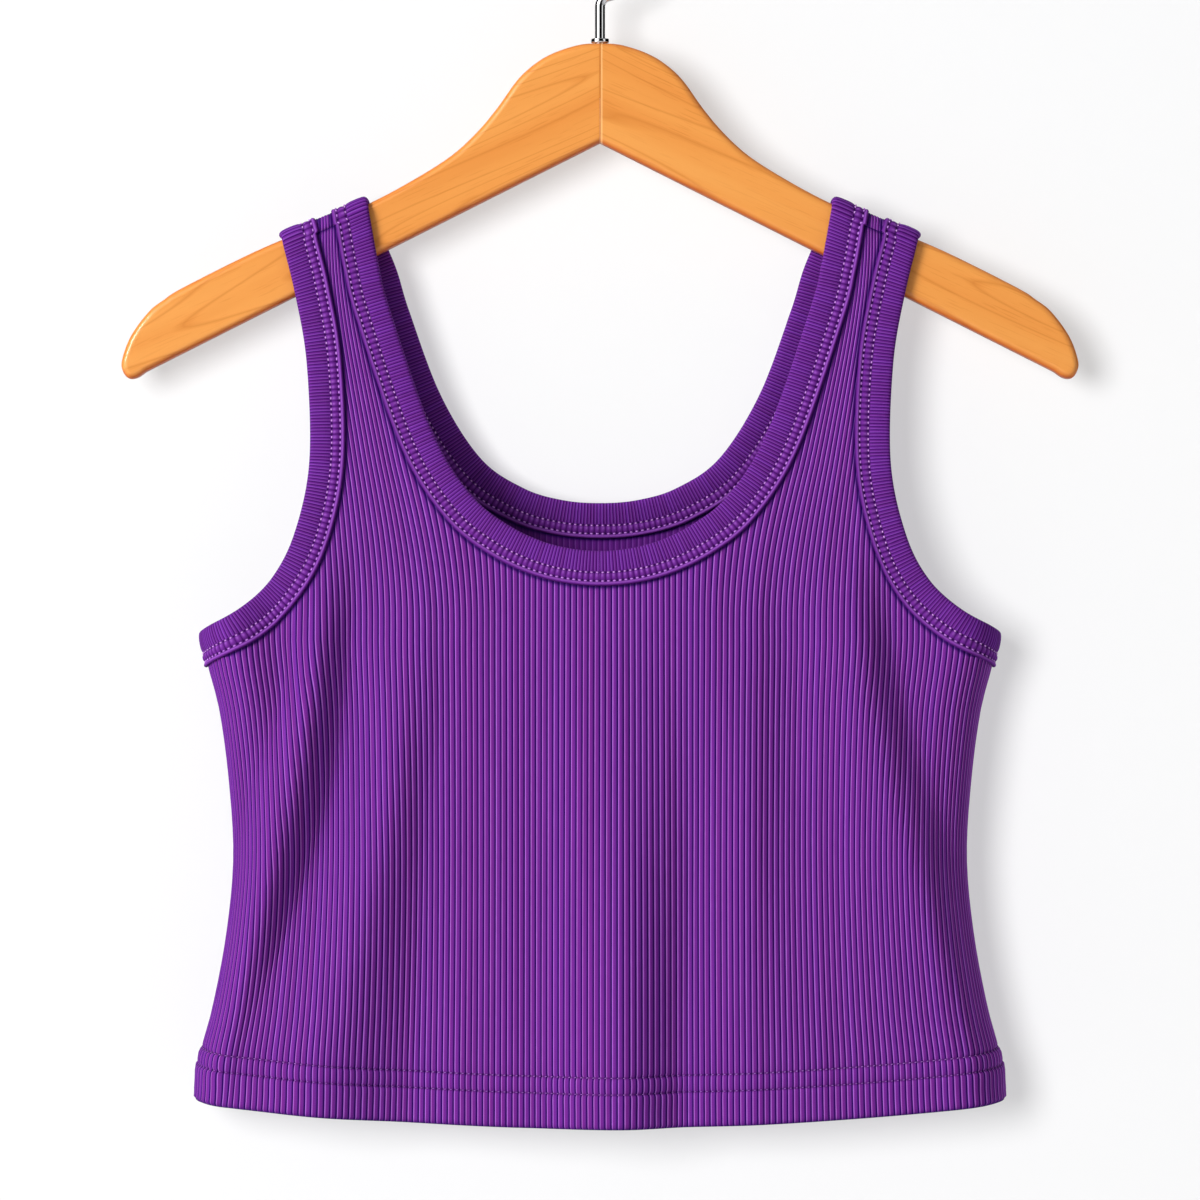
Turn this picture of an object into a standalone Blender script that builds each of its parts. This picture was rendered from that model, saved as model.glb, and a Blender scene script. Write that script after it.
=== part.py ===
"""Ribbed crop tank top hanging on a wooden hanger with a wire hook.

Metres, +Z up. +X is the viewer's right, the front of the garment faces -Y, and the origin is the inside of
the hook's crown, where a rail carries it.

Each cloth panel is drawn flat first, in a sheet plane: s runs along the cloth from the centre line, v runs up
it. A rib is a column of points there. The sheet is then laid on the draped form, which goes round at the side
seams, up to the straps and over the arms of the hanger, and the ribs are raised along its outward normal.
"""

import math
from collections import namedtuple

import bmesh
import bpy
from mathutils import Matrix
from mathutils import Vector
from mathutils.geometry import delaunay_2d_cdt

MM = 0.001

# ---------------------------------------------------------------- sizes of the cloth
SEAM_GAP = 0.3 * MM
RIB_PITCH = 2.69 * MM
PANEL_RIBS = 146
COLUMNS_PER_SIDE = PANEL_RIBS
COLUMN_STEP = RIB_PITCH / 2
VALLEY_LEVEL = 1.0 * MM
PEAK_LEVEL = 1.6 * MM
INNER_COLUMN_STRIDE = 8
SIDE_COLUMN_STRIDE = 4
SIDE_COLUMNS_FROM = 120
CORNER_SNAP = 0.05 * MM
END_DISTANCE = 3.0 * MM
TURN_END_DISTANCE = 0.5 * MM
SHEAR_FOOT_Z = -255.0 * MM
SHEAR_RISE = 67.0 * MM

HEM_DEPTH = 24.0 * MM
HEM_INNER_FOLD = 0.9 * MM
HEM_OUTER_STEP = 0.3 * MM
HEM_MIDDLE_Z = -563.1 * MM
HEM_SIDE_Z = -550.6 * MM
HEM_SIDE_X = 187.0 * MM

UNDERARM_Z = -333.4 * MM

BAND_WIDTH = 16.4 * MM
BAND_SLOT_BOTTOM = 10.4 * MM
PANEL_INSET = BAND_SLOT_BOTTOM + SEAM_GAP
FRAME_SPACING = 12.5 * MM
SIDE_FRAME_SPACING = 4.5 * MM
SIDE_TURN_FROM = 155.0 * MM

# ---------------------------------------------------------------- sizes of the hanger
WOOD_THICKNESS = 12.0 * MM
WOOD_EDGE_RADIUS = 4.0 * MM
WOOD_TOP_Z = -60.0 * MM
STRAP_ZONE_X = 107.7 * MM
STRAP_ZONE_Z = -134.7 * MM
STRAP_ZONE_SLOPE = 0.4215

WIRE_RADIUS = 2.35 * MM
HOOK_INNER_RADIUS = 18.0 * MM
HOOK_BEND_RADIUS = 5.0 * MM
HOOK_TIP_ANGLE = math.radians(198)
SHANK_FOOT_Z = -85.0 * MM
COLLAR_RADIUS = 4.2 * MM
COLLAR_HEIGHT = 2.0 * MM

# how far the inner leg of a band reaches inside the panel's inner face, and the form that a strap then takes
BAND_INNER_REACH = 1.3 * MM
STRAP_TURN_RADIUS = WOOD_EDGE_RADIUS + SEAM_GAP + BAND_INNER_REACH
STRAP_FLAT_HALF = WOOD_THICKNESS / 2 - WOOD_EDGE_RADIUS
STRAP_HALF_DEPTH = STRAP_TURN_RADIUS + STRAP_FLAT_HALF
STRAP_TURN_LENGTH = math.pi / 2 * STRAP_TURN_RADIUS
STRAP_OVER_LENGTH = 2 * (STRAP_TURN_LENGTH + STRAP_FLAT_HALF)
STRAP_APEX_LIFT = (SEAM_GAP + BAND_INNER_REACH) * math.hypot(1, STRAP_ZONE_SLOPE)

# ---------------------------------------------------------------- tables, in millimetres
# outline of the body from the front
SideRow = namedtuple("SideRow", "z half_width")
SIDE_OUTLINE = (
    SideRow(-570.0, 190.0),
    SideRow(-550.6, 187.0),
    SideRow(-532.0, 185.2),
    SideRow(-508.8, 179.1),
    SideRow(-474.0, 172.6),
    SideRow(-439.2, 169.4),
    SideRow(-404.4, 171.3),
    SideRow(-369.6, 175.9),
    SideRow(-346.4, 181.9),
    SideRow(-333.4, 184.2),
    SideRow(-100.0, 184.2),
)

# how far each panel stands from the middle plane, and how much more at its centre line
DepthRow = namedtuple("DepthRow", "z half_depth crown")
BODY_DEPTH = (
    DepthRow(-570.0, 23.5, 5.0),
    DepthRow(-345.0, 22.0, 4.0),
    DepthRow(-215.0, 8.6, 0.0),
    DepthRow(-188.0, 7.6, 0.0),
    DepthRow(-80.0, 7.6, 0.0),
)

# finished edges of the right half, from the front
EdgeRow = namedtuple("EdgeRow", "x z")
FRONT_NECK_EDGE = (
    EdgeRow(0.0, -294.4),
    EdgeRow(22.0, -291.2),
    EdgeRow(42.2, -281.4),
    EdgeRow(59.4, -267.5),
    EdgeRow(77.0, -239.6),
    EdgeRow(97.5, -183.9),
    EdgeRow(103.0, -163.0),
    EdgeRow(107.3, -138.4),
)
BACK_NECK_EDGE = (
    EdgeRow(0.0, -272.1),
    EdgeRow(18.0, -270.9),
    EdgeRow(34.3, -267.5),
    EdgeRow(55.7, -253.5),
    EdgeRow(74.3, -225.7),
    EdgeRow(89.1, -183.9),
    EdgeRow(95.6, -163.0),
    EdgeRow(106.6, -138.1),
)
ARMHOLE_EDGE = (
    EdgeRow(184.2, -333.4),
    EdgeRow(179.1, -330.1),
    EdgeRow(167.1, -323.1),
    EdgeRow(152.2, -309.2),
    EdgeRow(141.6, -288.3),
    EdgeRow(134.8, -255.0),
    EdgeRow(136.2, -209.0),
    EdgeRow(141.6, -177.0),
    EdgeRow(146.9, -155.1),
)
NECK_APEX_X = 108.1 * MM
ARMHOLE_APEX_X = 149.0 * MM

# cross-section of a band: from_edge runs into the cloth, out runs along the cloth's outward normal
BandPoint = namedtuple("BandPoint", "from_edge out")
BAND_SECTION = (
    BandPoint(0.0, 0.7),
    BandPoint(0.9, 2.6),
    BandPoint(10.2, 2.6),
    BandPoint(10.6, 3.0),
    BandPoint(16.4, 2.9),
    BandPoint(16.4, 1.9),
    BandPoint(10.4, 1.9),
    BandPoint(10.4, -0.3),
    BandPoint(16.4, -0.3),
    BandPoint(16.4, -1.3),
    BandPoint(0.9, -1.2),
)

# soft folds: the line that a crest or trough follows, its height and its half width, and where it fades out
FoldRow = namedtuple("FoldRow", "x_top x_middle x_foot z_top z_foot height half_width")
FRONT_FOLDS = (
    FoldRow(-130.0, -146.0, -166.0, -345.0, -520.0, 3.4, 13.0),
    FoldRow(-112.0, -132.0, -162.0, -345.0, -545.0, -2.4, 12.0),
    FoldRow(-95.0, -106.0, -116.0, -352.0, -550.0, 3.0, 15.0),
    FoldRow(-72.0, -82.0, -96.0, -380.0, -552.0, -2.2, 14.0),
    FoldRow(4.0, 5.0, 5.0, -400.0, -560.0, 2.2, 17.0),
    FoldRow(46.0, 46.0, 42.0, -400.0, -556.0, -2.0, 16.0),
    FoldRow(67.0, 70.0, 74.0, -345.0, -540.0, 2.2, 13.0),
    FoldRow(95.0, 99.0, 104.0, -345.0, -540.0, -2.2, 13.0),
    FoldRow(118.0, 134.0, 160.0, -345.0, -505.0, 3.4, 12.0),
)
BACK_FOLDS = (
    FoldRow(-124.0, -140.0, -163.0, -345.0, -515.0, 3.2, 13.0),
    FoldRow(-84.0, -92.0, -104.0, -360.0, -548.0, 2.6, 15.0),
    FoldRow(-40.0, -44.0, -46.0, -390.0, -555.0, -2.2, 16.0),
    FoldRow(8.0, 10.0, 12.0, -380.0, -556.0, 2.0, 17.0),
    FoldRow(60.0, 64.0, 72.0, -370.0, -552.0, -2.4, 15.0),
    FoldRow(98.0, 106.0, 116.0, -350.0, -548.0, 2.8, 14.0),
    FoldRow(128.0, 143.0, 165.0, -345.0, -520.0, 3.2, 12.0),
)

# levels at which the columns of a panel have a point; from_column leaves out the columns nearer the middle
LevelRow = namedtuple("LevelRow", "z from_column")
BODY_LEVELS = (
    LevelRow(-495.0, 88),
    LevelRow(-450.0, 0),
    LevelRow(-410.0, 88),
    LevelRow(-378.0, 88),
    LevelRow(-345.0, 0),
    LevelRow(-300.0, 22),
    LevelRow(-255.0, 0),
    LevelRow(-215.0, 0),
    LevelRow(-188.0, 0),
)
# depths under the start of a strap's turn over the arm, and shares of each quarter turn
STRAP_LEVELS = (-14.0,)
TURN_SHARES = (0.0, 1 / 3, 2 / 3, 1.0)

# outline of the right half of the hanger, from the front
WOOD_OUTLINE = (
    EdgeRow(8.0, -60.5),
    EdgeRow(15.3, -62.3),
    EdgeRow(22.0, -64.8),
    EdgeRow(27.8, -67.9),
    EdgeRow(34.4, -73.0),
    EdgeRow(39.9, -79.0),
    EdgeRow(47.8, -90.2),
    EdgeRow(57.1, -101.3),
    EdgeRow(69.2, -112.4),
    EdgeRow(86.8, -123.6),
    EdgeRow(107.7, -134.7),
    EdgeRow(160.6, -157.0),
    EdgeRow(194.0, -173.7),
    EdgeRow(202.8, -179.3),
    EdgeRow(209.8, -184.8),
    EdgeRow(218.1, -196.0),
    EdgeRow(222.3, -207.1),
    EdgeRow(222.0, -212.4),
    EdgeRow(219.4, -215.8),
    EdgeRow(215.4, -215.6),
    EdgeRow(211.0, -212.7),
)
WOOD_NOTCH_Z = -106.4 * MM

FRONT = -1
BACK = 1

SheetPoint = namedtuple("SheetPoint", "s v")
EdgeFrame = namedtuple("EdgeFrame", "side s v ds dv")


# ---------------------------------------------------------------- profiles of the draped form
def smoothstep(low, high, value):
    """Ease from 0 at low to 1 at high."""
    share = min(max((value - low) / (high - low), 0.0), 1.0)
    return share * share * (3 - 2 * share)


def straight_profile(rows, column, z):
    """Value of a table's column at height z, straight between its rows; z in metres."""
    height = z / MM
    for lower, upper in zip(rows, rows[1:]):
        if height <= upper.z:
            break
    share = min(max((height - lower.z) / (upper.z - lower.z), 0.0), 1.0)
    return (getattr(lower, column) * (1 - share) + getattr(upper, column) * share) * MM


def curved_half_width(z):
    """Half width of the body at height z, on a smooth curve through the outline's rows."""
    height = min(max(z / MM, SIDE_OUTLINE[0].z), SIDE_OUTLINE[-1].z)
    index = 0
    while index < len(SIDE_OUTLINE) - 2 and height > SIDE_OUTLINE[index + 1].z:
        index += 1
    before = SIDE_OUTLINE[max(index - 1, 0)]
    start = SIDE_OUTLINE[index]
    end = SIDE_OUTLINE[index + 1]
    after = SIDE_OUTLINE[min(index + 2, len(SIDE_OUTLINE) - 1)]
    span = end.z - start.z
    slope_start = (end.half_width - before.half_width) / (end.z - before.z)
    slope_end = (after.half_width - start.half_width) / (after.z - start.z)
    t = (height - start.z) / span
    value = (2 * t**3 - 3 * t**2 + 1) * start.half_width
    value += (t**3 - 2 * t**2 + t) * span * slope_start
    value += (-2 * t**3 + 3 * t**2) * end.half_width
    value += (t**3 - t**2) * span * slope_end
    return value * MM


def half_width(z):
    """Half width of the body; above the underarm it stays as wide as there."""
    return curved_half_width(min(z, UNDERARM_Z))


def half_depth(z):
    """Distance of a panel from the middle plane, which is also the radius at the side seam."""
    return straight_profile(BODY_DEPTH, "half_depth", z)


def side_length(z):
    """Length of cloth from the centre line to the side seam at height z."""
    radius = half_depth(z)
    return half_width(z) - radius + math.pi / 2 * radius


def sheet_distance(x, z):
    """Length along the cloth from the centre line to the place that is seen at x."""
    radius = half_depth(z)
    flat = half_width(z) - radius
    if x <= flat:
        return x
    return flat + radius * math.asin(min((x - flat) / radius, 1.0))


def turn_start(x):
    """Height at which a strap leaves the upright and turns over the arm of the hanger."""
    wood_top = STRAP_ZONE_Z - STRAP_ZONE_SLOPE * (abs(x) - STRAP_ZONE_X)
    return wood_top + STRAP_APEX_LIFT - STRAP_TURN_RADIUS


def fold_height(rows, s, v):
    """How far the folds push the cloth out at a point of the sheet."""
    total = 0.0
    for row in rows:
        top = row.z_top * MM
        foot = row.z_foot * MM
        if not foot < v < top:
            continue
        t = (top - v) / (top - foot)
        line = (1 - t) ** 2 * row.x_top + 2 * t * (1 - t) * row.x_middle + t**2 * row.x_foot
        away = (s / MM - line) / row.half_width
        fade = smoothstep(0.0, 0.3, t) * smoothstep(1.0, 0.72, t)
        total += row.height * fade * math.exp(-away * away)
    return total * MM


def over_arm(side, x, rise):
    """Point of a strap that has passed the start of its turn by the length rise."""
    start = turn_start(x)
    if rise > STRAP_OVER_LENGTH:
        return Vector((x, -side * STRAP_HALF_DEPTH, start - (rise - STRAP_OVER_LENGTH)))
    if rise <= STRAP_TURN_LENGTH:
        angle = rise / STRAP_TURN_RADIUS
        across = STRAP_FLAT_HALF + STRAP_TURN_RADIUS * math.cos(angle)
    elif rise <= STRAP_TURN_LENGTH + 2 * STRAP_FLAT_HALF:
        angle = math.pi / 2
        across = STRAP_FLAT_HALF - (rise - STRAP_TURN_LENGTH)
    else:
        angle = (rise - 2 * STRAP_FLAT_HALF) / STRAP_TURN_RADIUS
        across = -STRAP_FLAT_HALF + STRAP_TURN_RADIUS * math.cos(angle)
    return Vector((x, side * across, start + STRAP_TURN_RADIUS * math.sin(angle)))


def inner_point(side, s, v):
    """Point of the cloth's inner face, on the front or back sheet."""
    rise = v - turn_start(s)
    if rise > 0:
        return over_arm(side, s, rise)
    radius = half_depth(v)
    flat = half_width(v) - radius
    distance = abs(s)
    crown = straight_profile(BODY_DEPTH, "crown", v)
    if distance <= flat:
        x = distance
        y = radius + crown * (1 - (distance / flat) ** 2) ** 2
    else:
        angle = (distance - flat) / radius
        x = flat + radius * math.sin(angle)
        y = radius * math.cos(angle)
    return Vector((math.copysign(x, s), side * y, v))


def draped_base(side, s, v):
    """Inner face with the folds of its side pushed into it."""
    point = inner_point(side, s, v)
    lift = fold_height(FRONT_FOLDS if side == FRONT else BACK_FOLDS, s, v)
    point.y += side * lift
    return point


def lay(side, s, v, out):
    """Point that stands out from the cloth's inner face along its outward normal."""
    reach = 0.4 * MM
    across = draped_base(side, s + reach, v) - draped_base(side, s - reach, v)
    along = draped_base(side, s, v + reach) - draped_base(side, s, v - reach)
    normal = across.cross(along).normalized() * -side
    return draped_base(side, s, v) + normal * out


# ---------------------------------------------------------------- columns of ribs in the sheet
def column_s(index, v):
    """Place of a column in the sheet: upright in the middle, waisted at the sides, leaning in a strap."""
    flat_s = index * COLUMN_STEP
    whole = COLUMNS_PER_SIDE * COLUMN_STEP
    stretch = side_length(min(v, UNDERARM_Z)) / whole - 1
    s = flat_s * (1 + stretch * (flat_s / whole) ** 2)
    lean = smoothstep(-330.0 * MM, -150.0 * MM, v) * smoothstep(30.0 * MM, 85.0 * MM, abs(s))
    axis_foot = 111.0 * MM
    axis_shift = 17.5 * MM
    narrowing = 0.5
    distance = axis_foot + axis_shift * lean + (abs(s) - axis_foot) * (1 - narrowing * lean)
    if lean > 0:
        return math.copysign(distance, s)
    return s


def rib_level(index):
    """Height of a column's outer points: odd columns are crests, even ones are valleys."""
    return PEAK_LEVEL if index % 2 else VALLEY_LEVEL


def level_between_columns(s, v):
    """Height of the rib wave at any place of the sheet."""
    low = -COLUMNS_PER_SIDE
    high = COLUMNS_PER_SIDE
    while high - low > 1:
        middle = (low + high) // 2
        if column_s(middle, v) <= s:
            low = middle
        else:
            high = middle
    start = column_s(low, v)
    share = (s - start) / (column_s(high, v) - start)
    share = min(max(share, 0.0), 1.0)
    return rib_level(low) * (1 - share) + rib_level(high) * share


def hem_z(s):
    """Height of the hem's lower edge."""
    share = min(abs(s) / (HEM_SIDE_X + 12 * MM), 1.0)
    return HEM_MIDDLE_Z + (HEM_SIDE_Z - HEM_MIDDLE_Z) * share**2


# ---------------------------------------------------------------- finished edges
def spline(points, steps=24):
    """Smooth curve through sheet points, as a dense list."""
    first = SheetPoint(2 * points[0].s - points[1].s, points[1].v)
    last = SheetPoint(2 * points[-1].s - points[-2].s, 2 * points[-1].v - points[-2].v)
    padded = [first, *points, last]
    dense = []
    for a, b, c, d in zip(padded, padded[1:], padded[2:], padded[3:]):
        for step in range(steps):
            t = step / steps
            weights = (
                (-t + 2 * t**2 - t**3) / 2,
                (2 - 5 * t**2 + 3 * t**3) / 2,
                (t + 4 * t**2 - 3 * t**3) / 2,
                (-(t**2) + t**3) / 2,
            )
            s = sum(weight * point.s for weight, point in zip(weights, (a, b, c, d)))
            v = sum(weight * point.v for weight, point in zip(weights, (a, b, c, d)))
            dense.append(SheetPoint(s, v))
    dense.append(points[-1])
    return dense


def pick(dense, spacing, close_spacing, close_from):
    """Indices along a dense curve about spacing apart, closer together past the distance close_from."""
    chosen = [0]
    walked = 0.0
    for index in range(1, len(dense) - 1):
        here = dense[index]
        before = dense[index - 1]
        walked += math.hypot(here.s - before.s, here.v - before.v)
        step = close_spacing if here.s > close_from else spacing
        if walked >= step:
            chosen.append(index)
            walked = 0.0
    if walked < spacing / 3 and len(chosen) > 1:
        chosen.pop()
    chosen.append(len(dense) - 1)
    return chosen


def edge_frames(side, table, inward):
    """Frames along one finished edge of the right half: a point and the way into the cloth from there."""
    points = [SheetPoint(sheet_distance(row.x * MM, row.z * MM), row.z * MM) for row in table]
    dense = spline(points)
    frames = []
    for index in pick(dense, FRAME_SPACING, SIDE_FRAME_SPACING, SIDE_TURN_FROM):
        here = dense[index]
        ahead = dense[min(index + 1, len(dense) - 1)]
        behind = dense[max(index - 1, 0)]
        run = Vector((ahead.s - behind.s, ahead.v - behind.v)).normalized()
        if index == 0:
            run = Vector((inward, 0.0))
        normal = Vector((run.y, -run.x)) if inward > 0 else Vector((-run.y, run.x))
        ridge = Vector((inward, -STRAP_ZONE_SLOPE * inward)).normalized()
        below_turn = turn_start(here.s) - here.v
        share = 1 - smoothstep(0.0, 45.0 * MM, below_turn)
        way = normal.lerp(ridge, share).normalized()
        way /= way.dot(normal)
        if index == 0 and inward < 0:
            seam_foot = side_length(here.v - BAND_WIDTH)
            way = Vector(((seam_foot - here.s) / BAND_WIDTH, -1.0))
        frames.append(EdgeFrame(side, here.s, here.v, way.x, way.y))
    return frames


def turn_frames(front_x, apex_x, back_x, inward):
    """Frames of a band over the arm, on the front sheet, between the two upright stretches."""
    flat_end = STRAP_TURN_LENGTH + 2 * STRAP_FLAT_HALF
    rises = [share * STRAP_TURN_LENGTH for share in TURN_SHARES[1:]]
    rises += [flat_end + share * STRAP_TURN_LENGTH for share in TURN_SHARES[:-1]]
    half = STRAP_OVER_LENGTH / 2
    frames = []
    for rise in rises:
        share = rise / half
        x = front_x + (apex_x - front_x) * share
        if share > 1:
            x = apex_x + (back_x - apex_x) * (share - 1)
        frames.append(EdgeFrame(FRONT, x, turn_start(x) + rise, inward, -STRAP_ZONE_SLOPE * inward))
    return frames


def on_back_sheet(frame):
    """The same place of a turned strap, told on the back sheet."""
    rise = frame.v - turn_start(frame.s)
    return frame._replace(side=BACK, v=turn_start(frame.s) + STRAP_OVER_LENGTH - rise)


def mirrored(frame):
    """The frame at the other side of the centre line."""
    return frame._replace(s=-frame.s, ds=-frame.ds)


NECK_FRONT = edge_frames(FRONT, FRONT_NECK_EDGE, 1)
NECK_BACK = edge_frames(BACK, BACK_NECK_EDGE, 1)
NECK_TURN = turn_frames(NECK_FRONT[-1].s, NECK_APEX_X, NECK_BACK[-1].s, 1)
ARM_FRONT = edge_frames(FRONT, ARMHOLE_EDGE, -1)
ARM_BACK = edge_frames(BACK, ARMHOLE_EDGE, -1)
ARM_TURN = turn_frames(ARM_FRONT[-1].s, ARMHOLE_APEX_X, ARM_BACK[-1].s, -1)


def inset(frame, distance):
    """Sheet point that lies a distance into the cloth from a finished edge."""
    return SheetPoint(frame.s + frame.ds * distance, frame.v + frame.dv * distance)


# ---------------------------------------------------------------- panels
def half_outline(side):
    """Outline of the right half of a panel, from the hem's middle round to the neck's middle."""
    neck = NECK_FRONT if side == FRONT else NECK_BACK
    arm = ARM_FRONT if side == FRONT else ARM_BACK
    half_gap = SEAM_GAP / 2
    corner_s = side_length(HEM_SIDE_Z) - half_gap
    points = []
    for index in range(0, COLUMNS_PER_SIDE - 4, INNER_COLUMN_STRIDE):
        s = column_s(index, HEM_MIDDLE_Z)
        points.append(SheetPoint(s, hem_z(s)))
    points.append(SheetPoint(corner_s, hem_z(corner_s)))
    armhole = [inset(frame, PANEL_INSET) for frame in arm]
    armhole = [point for point in armhole if point.s < side_length(point.v) - 2 * MM]
    underarm_v = inset(arm[0], PANEL_INSET).v
    side_levels = [hem_z(corner_s) + HEM_DEPTH]
    side_levels += [level.z * MM for level in BODY_LEVELS if level.z * MM < underarm_v - 2 * MM]
    for v in (*side_levels, underarm_v):
        points.append(SheetPoint(side_length(v) - half_gap, v))
    points += armhole[:-1]
    if side == FRONT:
        for point in (armhole[-1], inset(neck[-1], PANEL_INSET)):
            points.append(SheetPoint(point.s, turn_start(point.s) - half_gap))
    else:
        over_out = [inset(on_back_sheet(frame), PANEL_INSET) for frame in reversed(ARM_TURN)]
        over_in = [inset(on_back_sheet(frame), PANEL_INSET) for frame in NECK_TURN]
        points.append(armhole[-1])
        points += over_out
        for frame in (ARM_FRONT[-1], NECK_FRONT[-1]):
            point = inset(frame, PANEL_INSET)
            points.append(SheetPoint(point.s, turn_start(point.s) + STRAP_OVER_LENGTH - half_gap))
        points += over_in
        points.append(inset(neck[-1], PANEL_INSET))
    points += [inset(frame, PANEL_INSET) for frame in reversed(neck[:-1])]
    return points


def column_levels(side, index):
    """Heights of a column's points, from below the hem to above its top."""
    foot = hem_z(column_s(index, HEM_MIDDLE_Z))
    levels = [foot - 5 * MM, foot + HEM_DEPTH]
    levels += [level.z * MM for level in BODY_LEVELS if abs(index) >= level.from_column]
    start = turn_start(column_s(index, STRAP_ZONE_Z))
    levels += [start + level * MM for level in STRAP_LEVELS]
    if side == FRONT:
        levels.append(start + 5 * MM)
        return levels
    flat_end = STRAP_TURN_LENGTH + 2 * STRAP_FLAT_HALF
    levels += [start + share * STRAP_TURN_LENGTH for share in TURN_SHARES]
    levels += [start + flat_end + share * STRAP_TURN_LENGTH for share in TURN_SHARES[:-1]]
    levels.append(start + STRAP_OVER_LENGTH + 5 * MM)
    return levels


def crossing(start, end, edge_start, edge_end):
    """Shares along a column's stretch and an outline's edge where they cross, or None."""
    run = (end.s - start.s, end.v - start.v)
    edge = (edge_end.s - edge_start.s, edge_end.v - edge_start.v)
    determinant = run[0] * edge[1] - run[1] * edge[0]
    if abs(determinant) < 1e-15:
        return None
    gap = (edge_start.s - start.s, edge_start.v - start.v)
    along = (gap[0] * edge[1] - gap[1] * edge[0]) / determinant
    across = (gap[0] * run[1] - gap[1] * run[0]) / determinant
    if 0 <= along < 1 and 0 <= across < 1:
        return along, across
    return None


def cut_columns(side, outline):
    """Columns as runs of points inside the outline, and the outline with a point where each run ends."""
    edge_points = [[] for _ in outline]
    corner_columns = {}
    runs = []
    count = len(outline)
    for index in range(-COLUMNS_PER_SIDE + 1, COLUMNS_PER_SIDE):
        levels = column_levels(side, index)
        path = [SheetPoint(column_s(index, v), v) for v in levels]
        inside = False
        run = []
        for start, end in zip(path, path[1:]):
            hits = []
            low = min(start.v, end.v)
            high = max(start.v, end.v)
            for number in range(count):
                edge_start = outline[number]
                edge_end = outline[(number + 1) % count]
                if max(edge_start.v, edge_end.v) < low or min(edge_start.v, edge_end.v) > high:
                    continue
                hit = crossing(start, end, edge_start, edge_end)
                if hit:
                    hits.append((hit[0], hit[1], number))
            for along, across, number in sorted(hits):
                point = SheetPoint(start.s + (end.s - start.s) * along, start.v + (end.v - start.v) * along)
                corner = (number + round(across)) % count
                if math.dist(point, outline[corner]) < CORNER_SNAP:
                    point = outline[corner]
                    corner_columns[corner] = index
                else:
                    edge_points[number].append((across, point, index))
                run.append(point)
                if inside:
                    runs.append((index, run))
                    run = []
                inside = not inside
            if inside:
                run.append(end)
    loop = []
    for number, corner in enumerate(outline):
        loop.append((corner, corner_columns.get(number)))
        loop += [(point, index) for _, point, index in sorted(edge_points[number])]
    return runs, loop


def in_inner_face(index):
    """Whether the plain inner face has a point on this column too."""
    stride = SIDE_COLUMN_STRIDE if abs(index) >= SIDE_COLUMNS_FROM else INNER_COLUMN_STRIDE
    return index % stride == 0


def far_from_ends(run):
    """Inner points of a run that keep a distance from both of its ends, a short one where a strap turns."""
    kept = []
    for point in run[1:-1]:
        distance = TURN_END_DISTANCE if point.v > turn_start(point.s) - STRAP_TURN_RADIUS else END_DISTANCE
        if min(point.v - run[0].v, run[-1].v - point.v) > distance:
            kept.append(point)
    return kept


def triangulate(points, constraints, loop):
    """Triangles inside a closed loop of sheet points, with the constraint edges kept.

    The straps are sheared by the slope of the hanger's arm, so that points of one level lie side by side.
    """
    flat = []
    for point in points:
        shear = STRAP_ZONE_SLOPE * min(max((point.v - SHEAR_FOOT_Z) / SHEAR_RISE, 0.0), 1.0)
        flat.append(Vector((point.s / MM, (point.v + shear * abs(point.s)) / MM)))
    result = delaunay_2d_cdt(flat, constraints, [loop], 1, 1e-7)
    origins = result[3]
    if len(result[0]) != len(points):
        raise ValueError("the sheet's columns cross each other")
    return [tuple(origins[corner][0] for corner in face) for face in result[2]]


def hem_share(v, s):
    """1 in the turned hem and 0 above it."""
    return 1.0 if v < hem_z(s) + HEM_DEPTH + 0.1 * MM else 0.0


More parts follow.
